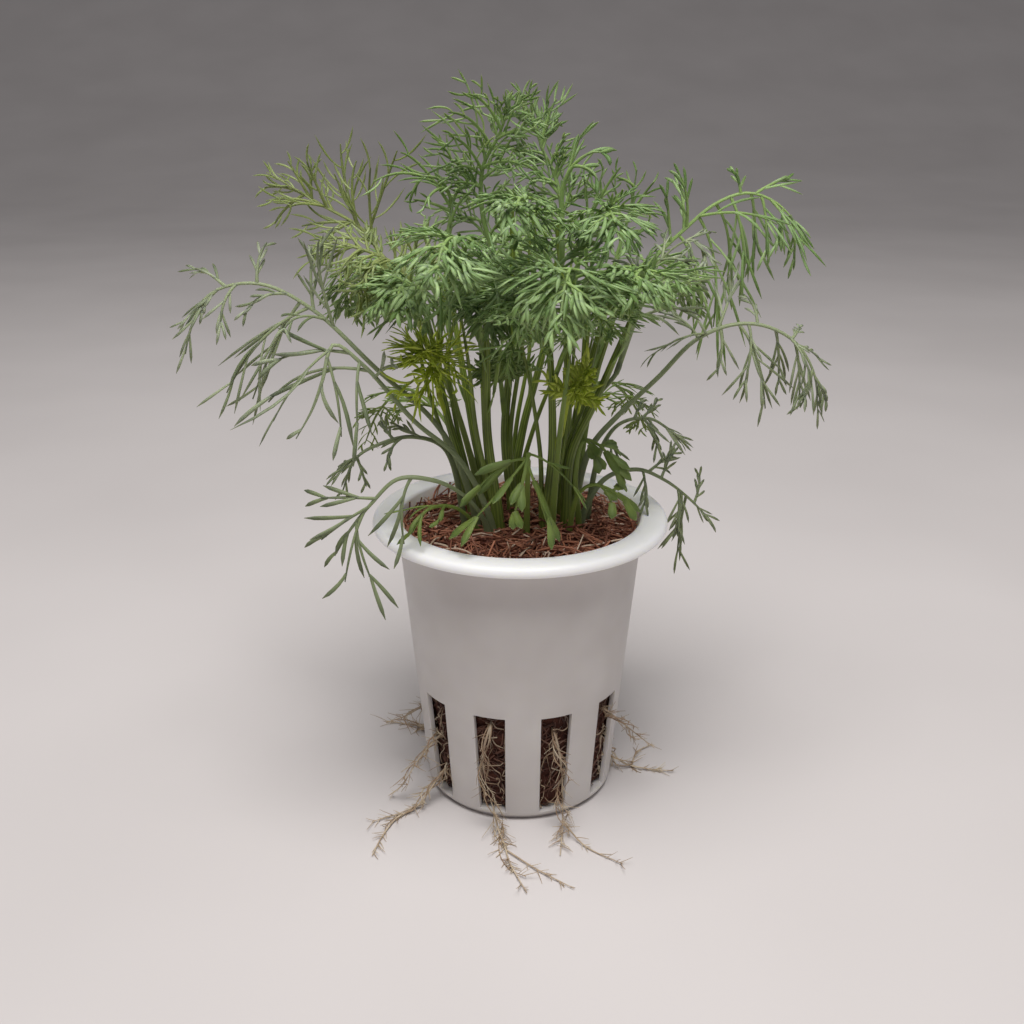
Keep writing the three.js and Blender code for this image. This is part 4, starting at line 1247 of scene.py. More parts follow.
# %% Pot dimensions, in millimetres
POT_HEIGHT = 61
RIM_RADIUS = 30
RIM_THICKNESS = 2.3
RIM_FOOT = POT_HEIGHT - RIM_THICKNESS
TOP_RADIUS = 25.2
BASE_RADIUS = 19.8
WALL = 1
FLOOR_TOP = 2
SLOTS = 10
SLOT_TOP = 25
SLOT_TOP_WIDTH = 6.6
SLOT_BOTTOM_WIDTH = 5.6
DRAIN_WIDTH = 2.2
DRAIN_LENGTH = 6.5
DRAIN_MIDDLE = 12.25
PITCH = 2 * math.pi / SLOTS


def wall_radius(z):
    """The outer radius of the tapered wall at this height."""
    return BASE_RADIUS + (TOP_RADIUS - BASE_RADIUS) * z / POT_HEIGHT


def inner_radius(z):
    """The inner radius of the tapered wall at this height."""
    return wall_radius(z) - WALL


def slot_half_angle(z):
    """Half the angle that a slot takes of the wall at this height."""
    share = min(max((z - FLOOR_TOP) / (SLOT_TOP - FLOOR_TOP), 0), 1)
    width = SLOT_BOTTOM_WIDTH + (SLOT_TOP_WIDTH - SLOT_BOTTOM_WIDTH) * share
    return width / 2 / wall_radius(FLOOR_TOP + share * (SLOT_TOP - FLOOR_TOP))


print(f"{SLOTS} slots, {SLOT_BOTTOM_WIDTH} to {SLOT_TOP_WIDTH} mm wide")

# %% The pot's section
SLOT_ROWS = 12
WALL_ROWS = 10
FLOOR_RINGS = (8, 13, 17)
FOOT_STEP = 1.2
FOOT_CORNER = 0.3
RIM_FILLET = 0.7
RIM_LOWER_ROUND = 0.8
RIM_UPPER_ROUND = 1.3
LIP_ROUND = 0.8


def round_corner(x, z, radius, start, end, steps=5):
    """Points of an arc about (x, z), from one angle to another in degrees."""
    angles = [math.radians(start + (end - start) * k / steps) for k in range(steps + 1)]
    return [(x + radius * math.cos(a), z + radius * math.sin(a)) for a in angles]


def rows(start, end, count, radius):
    """Evenly spaced points up or down a wall of this radius."""
    return [(radius(z), z) for z in (start + (end - start) * k / count for k in range(count + 1))]


# The section runs from the middle of the underside out, up, over the rim, down and back in.
outside = [(0, 0), *[(radius, 0) for radius in FLOOR_RINGS]]
outside += round_corner(BASE_RADIUS - FOOT_STEP, FOOT_CORNER, FOOT_CORNER, -90, 0, 3)
outside += [(BASE_RADIUS - 0.85, 0.9), (BASE_RADIUS - 0.2, 1.15)]
outside += round_corner(wall_radius(1.4) - 0.15, 1.4, 0.15, -60, 0, 2)
slot_outside = rows(FLOOR_TOP, SLOT_TOP, SLOT_ROWS, wall_radius)
fillet_foot = RIM_FOOT - RIM_FILLET
upper = rows(SLOT_TOP, fillet_foot, WALL_ROWS, wall_radius)[1:]
upper += round_corner(wall_radius(RIM_FOOT) + RIM_FILLET, fillet_foot, RIM_FILLET, 180, 90, 4)[1:]
rim = [(RIM_RADIUS - 2.5, RIM_FOOT)]
rim += round_corner(RIM_RADIUS - RIM_LOWER_ROUND, RIM_FOOT + RIM_LOWER_ROUND, RIM_LOWER_ROUND, -90, 0)
rim += round_corner(RIM_RADIUS - RIM_UPPER_ROUND, POT_HEIGHT - 1.4, RIM_UPPER_ROUND, 5, 80, 6)
rim += [(RIM_RADIUS - 2.2, POT_HEIGHT - 0.03), (RIM_RADIUS - 3.6, POT_HEIGHT)]
rim += round_corner(inner_radius(POT_HEIGHT) + 1.0, POT_HEIGHT - 0.85, LIP_ROUND, 95, 180, 6)
inside = rows(POT_HEIGHT - 1.9, SLOT_TOP, WALL_ROWS, inner_radius)
slot_inside = rows(SLOT_TOP, FLOOR_TOP, SLOT_ROWS, inner_radius)[1:]
floor = [*[(radius, FLOOR_TOP) for radius in reversed(FLOOR_RINGS)], (0, FLOOR_TOP)]
SECTION = outside + slot_outside + upper + rim + inside + slot_inside + floor
OUTER_FIRST = len(outside)
OUTER_LAST = OUTER_FIRST + SLOT_ROWS
INNER_LAST = len(SECTION) - len(floor) - 1
INNER_FIRST = INNER_LAST - SLOT_ROWS
print(f"a section of {len(SECTION)} points")


# %% Turning the section
SLOT_COLUMNS = 6
RIB_COLUMNS = 8
SLOT_AND_RIB = SLOT_COLUMNS + RIB_COLUMNS


def pot_columns(z):
    """The angle of every column at this height, slot by slot, from the front."""
    half = slot_half_angle(z)
    angles = []
    for slot in range(SLOTS):
        start = -math.pi / 2 + (slot + 0.5) * PITCH - half
        angles += [start + 2 * half * k / SLOT_COLUMNS for k in range(SLOT_COLUMNS)]
        rib = PITCH - 2 * half
        angles += [start + 2 * half + rib * k / RIB_COLUMNS for k in range(RIB_COLUMNS)]
    return angles


def turned_pot():
    """The section turned in columns, with the slots' patches left out and their sides closed."""
    mesh = bmesh.new()
    columns = SLOTS * SLOT_AND_RIB
    grid = []
    for radius, z in SECTION:
        if radius == 0:
            grid.append([mesh.verts.new((0, 0, z * MM))] * columns)
            continue
        ring = [(radius * math.cos(a), radius * math.sin(a), z) for a in pot_columns(z)]
        grid.append([mesh.verts.new(Vector(p) * MM) for p in ring])

    def face(*corners):
        """A face of these corners, without those that meet in the middle of the floor."""
        corners = list(dict.fromkeys(corners))
        if len(corners) > 2:
            mesh.faces.new(corners)

    for column in range(columns):
        after = (column + 1) % columns
        edge = column % SLOT_AND_RIB
        for row in range(len(SECTION) - 1):
            wall_row = OUTER_FIRST <= row < OUTER_LAST or INNER_FIRST <= row < INNER_LAST
            if not (edge < SLOT_COLUMNS and wall_row):
                low, high = grid[row], grid[row + 1]
                face(low[column], low[after], high[after], high[column])
        if edge < SLOT_COLUMNS:
            face(grid[OUTER_LAST][column], grid[INNER_FIRST][column],
                 grid[INNER_FIRST][after], grid[OUTER_LAST][after])
            face(grid[OUTER_FIRST][after], grid[INNER_LAST][after],
                 grid[INNER_LAST][column], grid[OUTER_FIRST][column])
        if edge in (0, SLOT_COLUMNS):
            for k in range(SLOT_ROWS):
                outer_low, outer_high = [grid[OUTER_FIRST + i][column] for i in (k, k + 1)]
                inner_low, inner_high = [grid[INNER_LAST - i][column] for i in (k, k + 1)]
                corners = [outer_low, outer_high, inner_high, inner_low]
                face(*(corners if edge == 0 else reversed(corners)))
    return mesh


pot_mesh = bpy.data.meshes.new("net_pot_shell")
shell = turned_pot()
bmesh.ops.recalc_face_normals(shell, faces=shell.faces)
shell.to_mesh(pot_mesh)
pot = new_piece("net_pot_shell", pot_mesh)
print(f"turned in {len(pot_mesh.polygons)} faces")

# %% Drains and soft edges
EDGE_SOFTNESS = 0.16
CUTTER_HEIGHT = 6
BEVEL_ANGLE = math.radians(50)
SMOOTH_ANGLE = math.radians(35)


def drain_cutters():
    """Ten bars that cut the drain slots through the floor, under the ribs."""
    cutters = bmesh.new()
    for k in range(SLOTS):
        turn = Matrix.Rotation(PITCH * k, 4, "Z")
        place = Matrix.Translation(Vector((0, -DRAIN_MIDDLE, FLOOR_TOP / 2)) * MM)
        bar = Vector((DRAIN_WIDTH, DRAIN_LENGTH, CUTTER_HEIGHT)) * MM
        shape = Matrix.Diagonal((*bar, 1))
        bmesh.ops.create_cube(cutters, size=1, matrix=turn @ place @ shape)
    mesh = bpy.data.meshes.new("drain cutters")
    cutters.to_mesh(mesh)
    return new_piece("drain_cutters", mesh)


cutters = drain_cutters()
drains = pot.modifiers.new("Drains", "BOOLEAN")
drains.object = cutters
drains.solver = "EXACT"
soft = pot.modifiers.new("Soft edges", "BEVEL")
soft.width = EDGE_SOFTNESS * MM
soft.segments = 3
soft.limit_method = "ANGLE"
soft.angle_limit = BEVEL_ANGLE
plain_mesh(pot)
bpy.data.objects.remove(cutters)
pot.data.shade_smooth()
pot.data.set_sharp_from_angle(angle=SMOOTH_ANGLE)
print(f"the pot has {len(pot.data.polygons)} faces with its drains and soft edges")


# %% The pot's plastic
def pot_material():
    """White polypropylene: white at the rim, and painted greyer on the wall, as painted shade and for
    the coir behind it.
    """
    material, tree, shader = new_material(
        "White moulded polypropylene", roughness=0.40, ior=1.49, subsurface=0.25, radius_mm=2.0)
    cloudy = patches(tree, 14.0, low=0.3, high=0.7)
    # Painted shade: the wall under the rim is given a greyer white, for the shade on the tapering wall
    # and the dark coir behind it.
    wall = add(tree, MIX, {"Factor": cloudy, "A": "#c3bdba", "B": "#cec9c6"}, **COLOUR)
    rim = by_height(tree, (RIM_FOOT - 1) * MM, RIM_FOOT * MM, under=0.0, over=1.0)
    own = add(tree, MIX, {"Factor": rim, "A": wall, "B": "#f7f6f7"}, **COLOUR)
    coloured(tree, shader, own, size_mm=0.4, depth_mm=0.006)
    return material


pot.data.materials.append(pot_material())
settle(pot, "pot_plastic", "net_pot")
print("finished in", pot.data.materials[0].name)

# %% [markdown]
# ## The coir
#
# Coir is the fibre and dust of coconut husk. The plug is a lumpy red-brown body, turned and
# then pushed about by noise: deep lumps on its open top, and only shallow ones on its side,
# so that it stays behind the pot's wall. Loose fibres give it its look, so a tree of their
# own scatters them over the top and behind the slots.

# %% The coir plug
COIR_EDGE = 57.6
COIR_CROWN = 59.4
COIR_COLUMNS = 144
COIR_CLEARANCE = 0.3
SIDE_SLACK = 0.25
SIDE_HEIGHTS = [3 + 0.5 * k for k in range(46)] + [30, 36, 42, 48, 53, 56]
BOTTOM_GAP = 0.35
TOP_RINGS = 48
EDGE_FADE = 3
TOP_LUMPS, TOP_CRUMBS = 0.9, 0.45
SIDE_LUMPS, SIDE_CRUMBS, SIDE_INSET = 0.8, 0.5, 0.2
LUMPS = {"frequency": 0.28, "fade": 0.9, "octaves": 5}
CRUMBS = {"frequency": 1.1, "fade": 0.8, "octaves": 4}


def coir_section():
    """The plug's half outline, from the middle of its underside to the middle of its top."""
    side = [(inner_radius(z) - COIR_CLEARANCE - SIDE_SLACK, z) for z in SIDE_HEIGHTS]
    bottom = FLOOR_TOP + BOTTOM_GAP
    outline = [(0, bottom), (6, bottom), (12, bottom), (inner_radius(2) - 1.4, bottom + 0.05)]
    radius = inner_radius(COIR_EDGE) - COIR_CLEARANCE
    top = []
    for k in range(TOP_RINGS):
        share = 1 - k / TOP_RINGS
        top.append((radius * share, COIR_EDGE + (COIR_CROWN - COIR_EDGE) * (1 - share**2)))
    return [*outline, *side, *top, (0, COIR_CROWN)]


def bumpiness(point, frequency, fade, octaves):
    """Fractal noise at a point in millimetres."""
    return noise.fractal(point * frequency, fade, 2.0, octaves)


def coir_body():
    """The outline turned, then pushed about by two sizes of noise."""
    mesh = bmesh.new()
    grid = []
    turns = [2 * math.pi * k / COIR_COLUMNS for k in range(COIR_COLUMNS)]
    for radius, z in coir_section():
        if radius == 0:
            grid.append([mesh.verts.new((0, 0, z * MM))] * COIR_COLUMNS)
            continue
        ring = [(radius * math.cos(a) * MM, radius * math.sin(a) * MM, z * MM) for a in turns]
        grid.append([mesh.verts.new(p) for p in ring])
    for low, high in zip(grid, grid[1:]):
        for k in range(COIR_COLUMNS):
            after = (k + 1) % COIR_COLUMNS
            mesh.faces.new(list(dict.fromkeys((low[k], low[after], high[after], high[k]))))
    bmesh.ops.recalc_face_normals(mesh, faces=mesh.faces)
    for v in mesh.verts:
        z, radius = v.co.z / MM, math.hypot(v.co.x, v.co.y) / MM
        lump = bumpiness(v.co / MM, **LUMPS)
        fine = bumpiness(v.co / MM, **CRUMBS)
        if z > COIR_EDGE - 0.5:
            edge = min(1.0, (inner_radius(COIR_EDGE) - radius) / EDGE_FADE)
            v.co.z += (lump * TOP_LUMPS + fine * TOP_CRUMBS) * edge * MM
        elif z > 2.5 and radius > 1:
            inward = min(0.0, lump * SIDE_LUMPS + fine * SIDE_CRUMBS - SIDE_INSET) * MM
            v.co.x *= 1 + inward / (radius * MM)
            v.co.y *= 1 + inward / (radius * MM)
    return mesh


coir_mesh = bpy.data.meshes.new("coir_plug_body")
coir_body().to_mesh(coir_mesh)
coir_mesh.shade_smooth()
coir = new_piece("coir_plug_body", coir_mesh)
print(f"the coir has {len(coir_mesh.polygons)} faces")

# %% The coir's finish
# Painted shade: coir and fibres lower in the pot, behind the slots, are darkened towards this colour.
COIR_SHADE_SHARE = 0.75
SHADED_COIR = "#28140f"


def with_painted_shade_low(tree, colour):
    """A colour that is its own at the top and painted darker down to the slots, as shade inside the
    pot.
    """
    shade_low = by_height(tree, SLOT_TOP * MM, COIR_EDGE * MM, under=COIR_SHADE_SHARE, over=0.0)
    return add(tree, MIX, {"Factor": shade_low, "A": colour, "B": SHADED_COIR}, **COLOUR)


def coir_material():
    """Coir dust: dull and red-brown, with painted shade darker lower in the pot."""
    material, tree, shader = new_material("Coconut coir with painted shade", roughness=0.92, ior=1.4)
    lumps = patches(tree, 5.0, low=0.35, high=0.7, detail=3.0)
    own = add(tree, MIX, {"Factor": lumps, "A": "#3a1a14", "B": "#70392a"}, **COLOUR)
    crumbs = patches(tree, 0.8, low=0.3, high=0.7, detail=4.0)
    own = add(tree, MIX, {"Factor": crumbs, "A": own, "B": "#8e4f38"}, **COLOUR)
    coloured(tree, shader, with_painted_shade_low(tree, own), size_mm=0.5, depth_mm=0.25, detail=5.0)
    return material


coir_mesh.materials.append(coir_material())
settle(coir, "coir_fibre", "coir_plug")
print("finished in", coir_mesh.materials[0].name)

# %% Fibre tree: its inputs and where the fibres lie
# A fibre is drawn along X, one unit long: where it starts, how it bends and where it ends.
FIBRES = [
    ((-0.5, 0, 0), (0.0, 0.16, 0.06), (0.5, 0.02, 0)),
    ((-0.5, 0.05, 0), (-0.1, -0.22, 0.10), (0.5, 0.06, 0.02)),
    ((-0.5, 0, 0.02), (0.1, 0.32, 0.05), (0.42, -0.12, 0)),
    ((-0.5, 0.02, 0), (0.05, 0.03, 0.14), (0.5, -0.04, 0)),
]
FIBRE_STEPS = 6
MOSTLY_SHORT = 1.8

fibre_tree, fibre_in = new_tree("Scattered fibres", [
    ("Count per square metre", "NodeSocketFloat", 500000.0),
    ("Shortest", "NodeSocketFloat", 0.004),
    ("Longest", "NodeSocketFloat", 0.012),
    ("Thickness", "NodeSocketFloat", 0.0002),
    ("Lowest", "NodeSocketFloat", 0.0),
    ("Highest", "NodeSocketFloat", 1.0),
    ("Tilt", "NodeSocketFloat", 0.3),
    ("Seed", "NodeSocketInt", 1),
    ("Material", "NodeSocketMaterial", None),
])
tree = fibre_tree
height = add(tree, "ShaderNodeSeparateXYZ",
             {"Vector": add(tree, "GeometryNodeInputPosition")}, "Z")
above = add(tree, "FunctionNodeCompare", {"A": height, "B": fibre_in["Lowest"]},
            data_type="FLOAT", operation="GREATER_THAN")
below = add(tree, "FunctionNodeCompare", {"A": height, "B": fibre_in["Highest"]},
            data_type="FLOAT", operation="LESS_THAN")
zone = add(tree, "FunctionNodeBooleanMath", {0: above, 1: below}, operation="AND")
scatter = tree.nodes.new("GeometryNodeDistributePointsOnFaces")
scatter.distribute_method = "RANDOM"
tree.links.new(fibre_in["Geometry"], scatter.inputs["Mesh"])
tree.links.new(zone, scatter.inputs["Selection"])
tree.links.new(fibre_in["Count per square metre"], find(scatter.inputs, "Density"))
tree.links.new(fibre_in["Seed"], scatter.inputs["Seed"])
spin = random_value(tree, 0.0, 2 * math.pi, fibre_in["Seed"], 1)
lean = random_value(tree, -1.0, 1.0, fibre_in["Seed"], 2)
lean = add(tree, MATH, {0: lean, 1: fibre_in["Tilt"]}, operation="MULTIPLY")
turned = add(tree, "FunctionNodeEulerToRotation",
             {"Euler": add(tree, "ShaderNodeCombineXYZ", {"Y": lean, "Z": spin})})
flat = add(tree, "FunctionNodeRotateRotation",
           {"Rotation": scatter.outputs["Rotation"], "Rotate By": turned}, rotation_space="LOCAL")
length = random_value(tree, 0.0, 1.0, fibre_in["Seed"], 3)
length = add(tree, MATH, {0: length, 1: MOSTLY_SHORT}, operation="POWER")
length = add(tree, RANGE, {"Value": length, "To Min": fibre_in["Shortest"],
                           "To Max": fibre_in["Longest"]}, "Result")
print(f"{len(FIBRES)} bent fibres to scatter")

# %% Fibre tree: laying and curling the fibres
CURL_SCALE = 260.0
CURL = 2.2 * MM

kinds = []
for start, middle, end in FIBRES:
    bend = {"Start": start, "Middle": middle, "End": end, "Resolution": FIBRE_STEPS}
    one = add(tree, "GeometryNodeCurveQuadraticBezier", bend)
    kinds.append(add(tree, "GeometryNodeGeometryToInstance", {"Geometry": one}))
kinds = add(tree, "GeometryNodeJoinGeometry", {"Geometry": kinds})
choice = add(tree, "FunctionNodeRandomValue",
             {"Min": 0, "Max": len(FIBRES) - 1, "Seed": fibre_in["Seed"]}, "Value",
             data_type="INT")
laid = add(tree, "GeometryNodeInstanceOnPoints",
           {"Points": scatter.outputs["Points"], "Instance": kinds, "Pick Instance": True,
            "Instance Index": choice, "Rotation": flat, "Scale": length})
laid = add(tree, "GeometryNodeRealizeInstances", {"Geometry": laid})
place = add(tree, "GeometryNodeInputPosition")
curl = add(tree, "ShaderNodeTexNoise", {"Vector": place, "Scale": CURL_SCALE}, "Color")
curl = add(tree, VECTOR, {0: curl, 1: (0.5, 0.5, 0.5)}, operation="SUBTRACT")
curl = add(tree, VECTOR, {0: curl, "Scale": CURL}, operation="SCALE")
laid = add(tree, "GeometryNodeSetPosition", {"Geometry": laid, "Offset": curl})
print(f"fibres curl by up to {CURL / 2 / MM} mm each way")

# %% Fibre tree: keeping the fibres in the pot, and their thickness
WALL_GAP = 0.2
FLOOR_GAP = 0.4
THINNEST, THICKEST = 0.3, 0.6
FIBRE_SIDES = 4

# No fibre passes through the pot: one that would is pushed back inside its wall and floor.
parts = tree.nodes.new("ShaderNodeSeparateXYZ")
tree.links.new(place, parts.inputs[0])
flat_place = add(tree, "ShaderNodeCombineXYZ",
                 {"X": parts.outputs["X"], "Y": parts.outputs["Y"]})
radius = add(tree, VECTOR, {0: flat_place}, "Value", operation="LENGTH")
slope = (TOP_RADIUS - BASE_RADIUS) / POT_HEIGHT
base_room = (BASE_RADIUS - WALL - WALL_GAP) * MM
room = add(tree, MATH, {0: parts.outputs["Z"], 1: slope, 2: base_room}, operation="MULTIPLY_ADD")
squeeze = add(tree, MATH, {0: room, 1: radius}, operation="DIVIDE")
squeeze = add(tree, MATH, {0: squeeze, 1: 1.0}, operation="MINIMUM")
inner = add(tree, VECTOR, {0: flat_place, "Scale": squeeze}, operation="SCALE")
lifted = add(tree, MATH, {0: parts.outputs["Z"], 1: (FLOOR_TOP + FLOOR_GAP) * MM},
             operation="MAXIMUM")
inner = add(tree, VECTOR, {0: inner, 1: add(tree, "ShaderNodeCombineXYZ", {"Z": lifted})},
            operation="ADD")
laid = add(tree, "GeometryNodeSetPosition", {"Geometry": laid, "Position": inner})

number = add(tree, "GeometryNodeCurveOfPoint", output="Curve Index")
tone = random_value(tree, 0.0, 1.0, fibre_in["Seed"], 5, number)
laid = add(tree, STORE, {"Geometry": laid, "Name": "tone", "Value": tone})
ring = add(tree, "GeometryNodeCurvePrimitiveCircle", {"Resolution": FIBRE_SIDES, "Radius": 1.0})
thin = random_value(tree, THINNEST, THICKEST, fibre_in["Seed"], 6, number)
thin = add(tree, MATH, {0: thin, 1: fibre_in["Thickness"]}, operation="MULTIPLY")
tubes = add(tree, "GeometryNodeCurveToMesh",
            {"Curve": laid, "Profile Curve": ring, "Scale": thin, "Fill Caps": True})
end_tree(tree, tubes, fibre_in["Material"])
print(f"the fibre tree has {len(tree.nodes)} nodes")


# %% Fibres on the top and behind the slots
LIGHTEST = 0.85
PALE_FROM, PALE_TO = 0.86, 0.90


def fibre_material():
    """Coir fibre: stiff, woody and slightly shiny, from dark brown to a pale few."""
    material, tree, shader = new_material(
        "Coconut husk fibre", roughness=0.62, ior=1.5, subsurface=0.05, radius_mm=0.3)
    tone = add(tree, CARRIED, output="Fac", attribute_name="tone")
    share = add(tree, RANGE, {"Value": tone, "From Max": LIGHTEST}, "Result")
    own = add(tree, MIX, {"Factor": share, "A": "#5a2a1c", "B": "#c58468"}, **COLOUR)
    pale = add(tree, RANGE, {"Value": tone, "From Min": PALE_FROM, "From Max": PALE_TO}, "Result")
    own = add(tree, MIX, {"Factor": pale, "A": own, "B": "#e6ccb6"}, **COLOUR)
    # Painted shade: the fibres lower in the pot are darkened like the coir.
    coloured(tree, shader, with_painted_shade_low(tree, own))
    return material


def scattered(name, source, values):
    """A piece of fibres laid over another piece's surface."""
    piece = new_piece(name, source.data.copy())
    piece.data.materials.clear()
    run(piece, fibre_tree, {**values, "Material": COIR_FIBRE})
    print(f"{name}: {len(piece.data.polygons)} faces")
    return piece


COIR_FIBRE = fibre_material()
top_fibres = scattered("coir_top_fibres", coir, {
    "Count per square metre": 950000.0, "Shortest": 3.5 * MM, "Longest": 15 * MM,
    "Thickness": 0.40 * MM, "Lowest": 57 * MM, "Highest": 0.1, "Tilt": 0.22, "Seed": 3})
side_fibres = scattered("coir_side_fibres", coir, {
    "Count per square metre": 450000.0, "Shortest": 3.0 * MM, "Longest": 9 * MM,
    "Thickness": 0.30 * MM, "Lowest": 2.5 * MM, "Highest": 26 * MM, "Tilt": 0.12, "Seed": 5})
for fibres in (top_fibres, side_fibres):
    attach(fibres, "root")

# %% [markdown]
# ## Roots
#
# Roots grown in air and water are thin, pale and furred with short side roots. Each starts
# in the coir, leaves through a slot, drops to the surface and runs out along it. A strand
# follows the same points as its solid in the frame; three thinner ones twist beside it, and
# short hairs leave them all at an angle, like the needles of a fir twig.

# %% Root paths
ROOTS = {
    "root_front_left": {
        "strand": [(-5, -15, 24), (-6.6, -20.4, 22.5), (-8, -23, 18.5), (-7.6, -22.8, 12),
                   (-6, -22.8, 5), (-5, -24.5, 1.2), (-4, -28, 0.6), (-3, -34, 0.55), (0, -43, 0.5)],
        "sides": [(0.72, (2, -36, 0.5), (9, -42, 0.45))],
    },
    "root_front_right": {
        "strand": [(5, -15, 22), (6.6, -20.4, 20), (7.6, -22.6, 15), (8, -22.6, 6),
                   (8, -24, 1.2), (7.5, -28, 0.6), (7, -32, 0.5)],
        "sides": [(0.72, (12, -29, 0.5), (19, -35, 0.45))],
    },
    "root_left": {
        "strand": [(-12, -8.7, 10), (-16.6, -12.1, 7), (-20, -14.5, 3), (-22, -15.5, 0.9),
                   (-26, -19, 0.55), (-28.5, -25, 0.5), (-30, -31, 0.45)],
        "sides": [(0.55, (-27, -18, 0.5), (-31, -20, 0.45))],
    },
    "root_left_hanging": {
        "strand": [(-12.4, -8, 18), (-17.4, -11.4, 15), (-22, -13, 10), (-25, -12, 4),
                   (-28, -11, 0.8)],
        "sides": [],
    },
    "root_left_fine": {
        "strand": [(-14, 0, 17), (-20.5, 0, 16), (-25, -1, 14), (-29, -2, 13)],
        "sides": [],
    },
    "root_right": {
        "strand": [(12, -8.7, 23), (17.6, -12.8, 21.5), (22, -13.5, 18), (28, -12, 12)],
        "sides": [],
    },
    "root_right_low": {
        "strand": [(13, 0, 7), (19.6, 0, 4.6), (23, -0.5, 1.2), (28, -2, 0.5), (34, -3, 0.45)],
        "sides": [(0.6, (27, 5, 0.5), (31, 8, 0.45))],
    },
    "root_back": {
        "strand": [(4.6, 14, 9), (6.3, 19.4, 7), (8, 23.5, 2), (10, 28, 0.6), (9, 35, 0.45)],
        "sides": [(0.6, (14, 28, 0.5), (18, 31, 0.45))],
    },
    "root_back_left": {
        "strand": [(-11.3, 8.2, 10), (-16, 11.6, 7), (-20, 15, 2), (-25, 18, 0.55),
                   (-31, 20, 0.45)],
        "sides": [],
    },
}
print(len(ROOTS), "roots leave the pot")

# %% Root strands
ROOT_WIDTHS = (0.30, 0.27, 0.22, 0.16, 0.10)
TWIN_WIDTHS = (0.17, 0.15, 0.12, 0.07)
HAIR_WIDTHS = (0.09, 0.07, 0.04)
ROOT_STEPS = 36
SIDE_ROOT_STEPS = 16
TWINS = 3
SHORTEST_TWIN = 20
TWIN_WANDER = 1.3
HALF_TURNS = 5
TWIN_RISE = 0.6
SLOWER = 0.7
HAIR_STEP = 1.1
HAIR_SHORTEST = 0.8
HAIR_LONGEST = 4.2
HAIR_STEPS = 4
FIRST_HAIR = 0.18
HAIRY_SHARE = 0.8
HAIR_FORWARD, HAIR_OUT = 0.8, 0.75
HAIR_BEND = 0.12
LOWEST_MIDDLE = 0.1
LOWEST_HAIR_END = 0.12


def above_floor(point, least=LOWEST_MIDDLE):
    """The same point, lifted where a strand round it would reach under the floor."""
    return Vector((point.x, point.y, max(point.z, least * MM)))


def twin_line(line, wander, rng):
    """A line that wanders round another one, joined to it at its start."""
    phase = rng.uniform(0, 2 * math.pi)
    twin = []
    for k, p in enumerate(line):
        share = k / (len(line) - 1)
        turn = phase + HALF_TURNS * share * math.pi
        drift = Vector((math.cos(turn), math.sin(turn), TWIN_RISE * math.sin(turn * SLOWER)))
        twin.append(above_floor(p + drift * wander * MM * min(1, 3 * share)))
    return twin


def hair_lines(line, rng, count):
    """Short side roots, leaving a line forwards and outwards, more of them on its far half."""
    hairs = []
    for _ in range(count):
        share = FIRST_HAIR + HAIRY_SHARE * rng.random() ** 0.8
        forward = heading(line, share)
        aside = Vector((rng.uniform(-1, 1), rng.uniform(-1, 1), rng.uniform(-0.5, 0.7)))
        aside = (aside - forward * aside.dot(forward)).normalized()
        length = (HAIR_SHORTEST + (HAIR_LONGEST - HAIR_SHORTEST) * rng.random() ** 2) * MM
        start = at(line, share)
        end = start + (forward * HAIR_FORWARD + aside * HAIR_OUT) * length
        end = above_floor(end, LOWEST_HAIR_END)
        bend = Vector((rng.uniform(-1, 1), rng.uniform(-1, 1), 0)) * length * HAIR_BEND
        curved = arc_path(start, end, 0.0, HAIR_STEPS, bend)
        hairs.append([above_floor(p) for p in curved])
    return hairs


def root_strands(root, rng):
    """A root's main strand, its side roots, the thinner twins beside it, and all their hairs."""
    main = path(root["strand"], ROOT_STEPS)
    strands = [strand(main, ROOT_WIDTHS)]
    lines = [main]
    for share, *points in root["sides"]:
        lines.append(path([tuple(at(main, share) / MM), *points], SIDE_ROOT_STEPS))
        strands.append(strand(lines[-1], TWIN_WIDTHS))
    for _ in range(TWINS):
        stretch = main[: rng.randint(SHORTEST_TWIN, ROOT_STEPS)]
        twin = twin_line(stretch, TWIN_WANDER * rng.uniform(0.5, 1.4), rng)
        strands.append(strand(twin, TWIN_WIDTHS))
        lines.append(twin)
    for line in lines:
        reach = sum((b - a).length for a, b in zip(line, line[1:])) / MM
        for hair in hair_lines(line, rng, int(reach / HAIR_STEP)):
            strands.append(strand(hair, HAIR_WIDTHS))
    return strands


print(f"a hair every {HAIR_STEP} mm, up to {HAIR_LONGEST} mm long")

# %% Root material and pieces
ROOT_SIDES = 6
FIRST_ROOT_SEED = 40


def root_material():
    """Living root: pale straw, matt, and browner where it is old or comes out of the coir."""
    material, tree, shader = new_material(
        "Pale living root", roughness=0.6, ior=1.42, subsurface=0.12, radius_mm=0.5)
    tone = add(tree, CARRIED, output="Fac", attribute_name="tone")
    own = add(tree, MIX, {"Factor": tone, "A": "#a0866a", "B": "#d2c4ac"}, **COLOUR)
    aged = patches(tree, 4.0, low=0.4, high=0.75, most=0.7)
    own = add(tree, MIX, {"Factor": aged, "A": own, "B": "#846650"}, **COLOUR)
    near_coir = by_height(tree, 2 * MM, 20 * MM, under=0.0, over=0.45)
    own = add(tree, MIX, {"Factor": near_coir, "A": own, "B": "#5e4436"}, **COLOUR)
    coloured(tree, shader, own, size_mm=0.25, depth_mm=0.03)
    return material


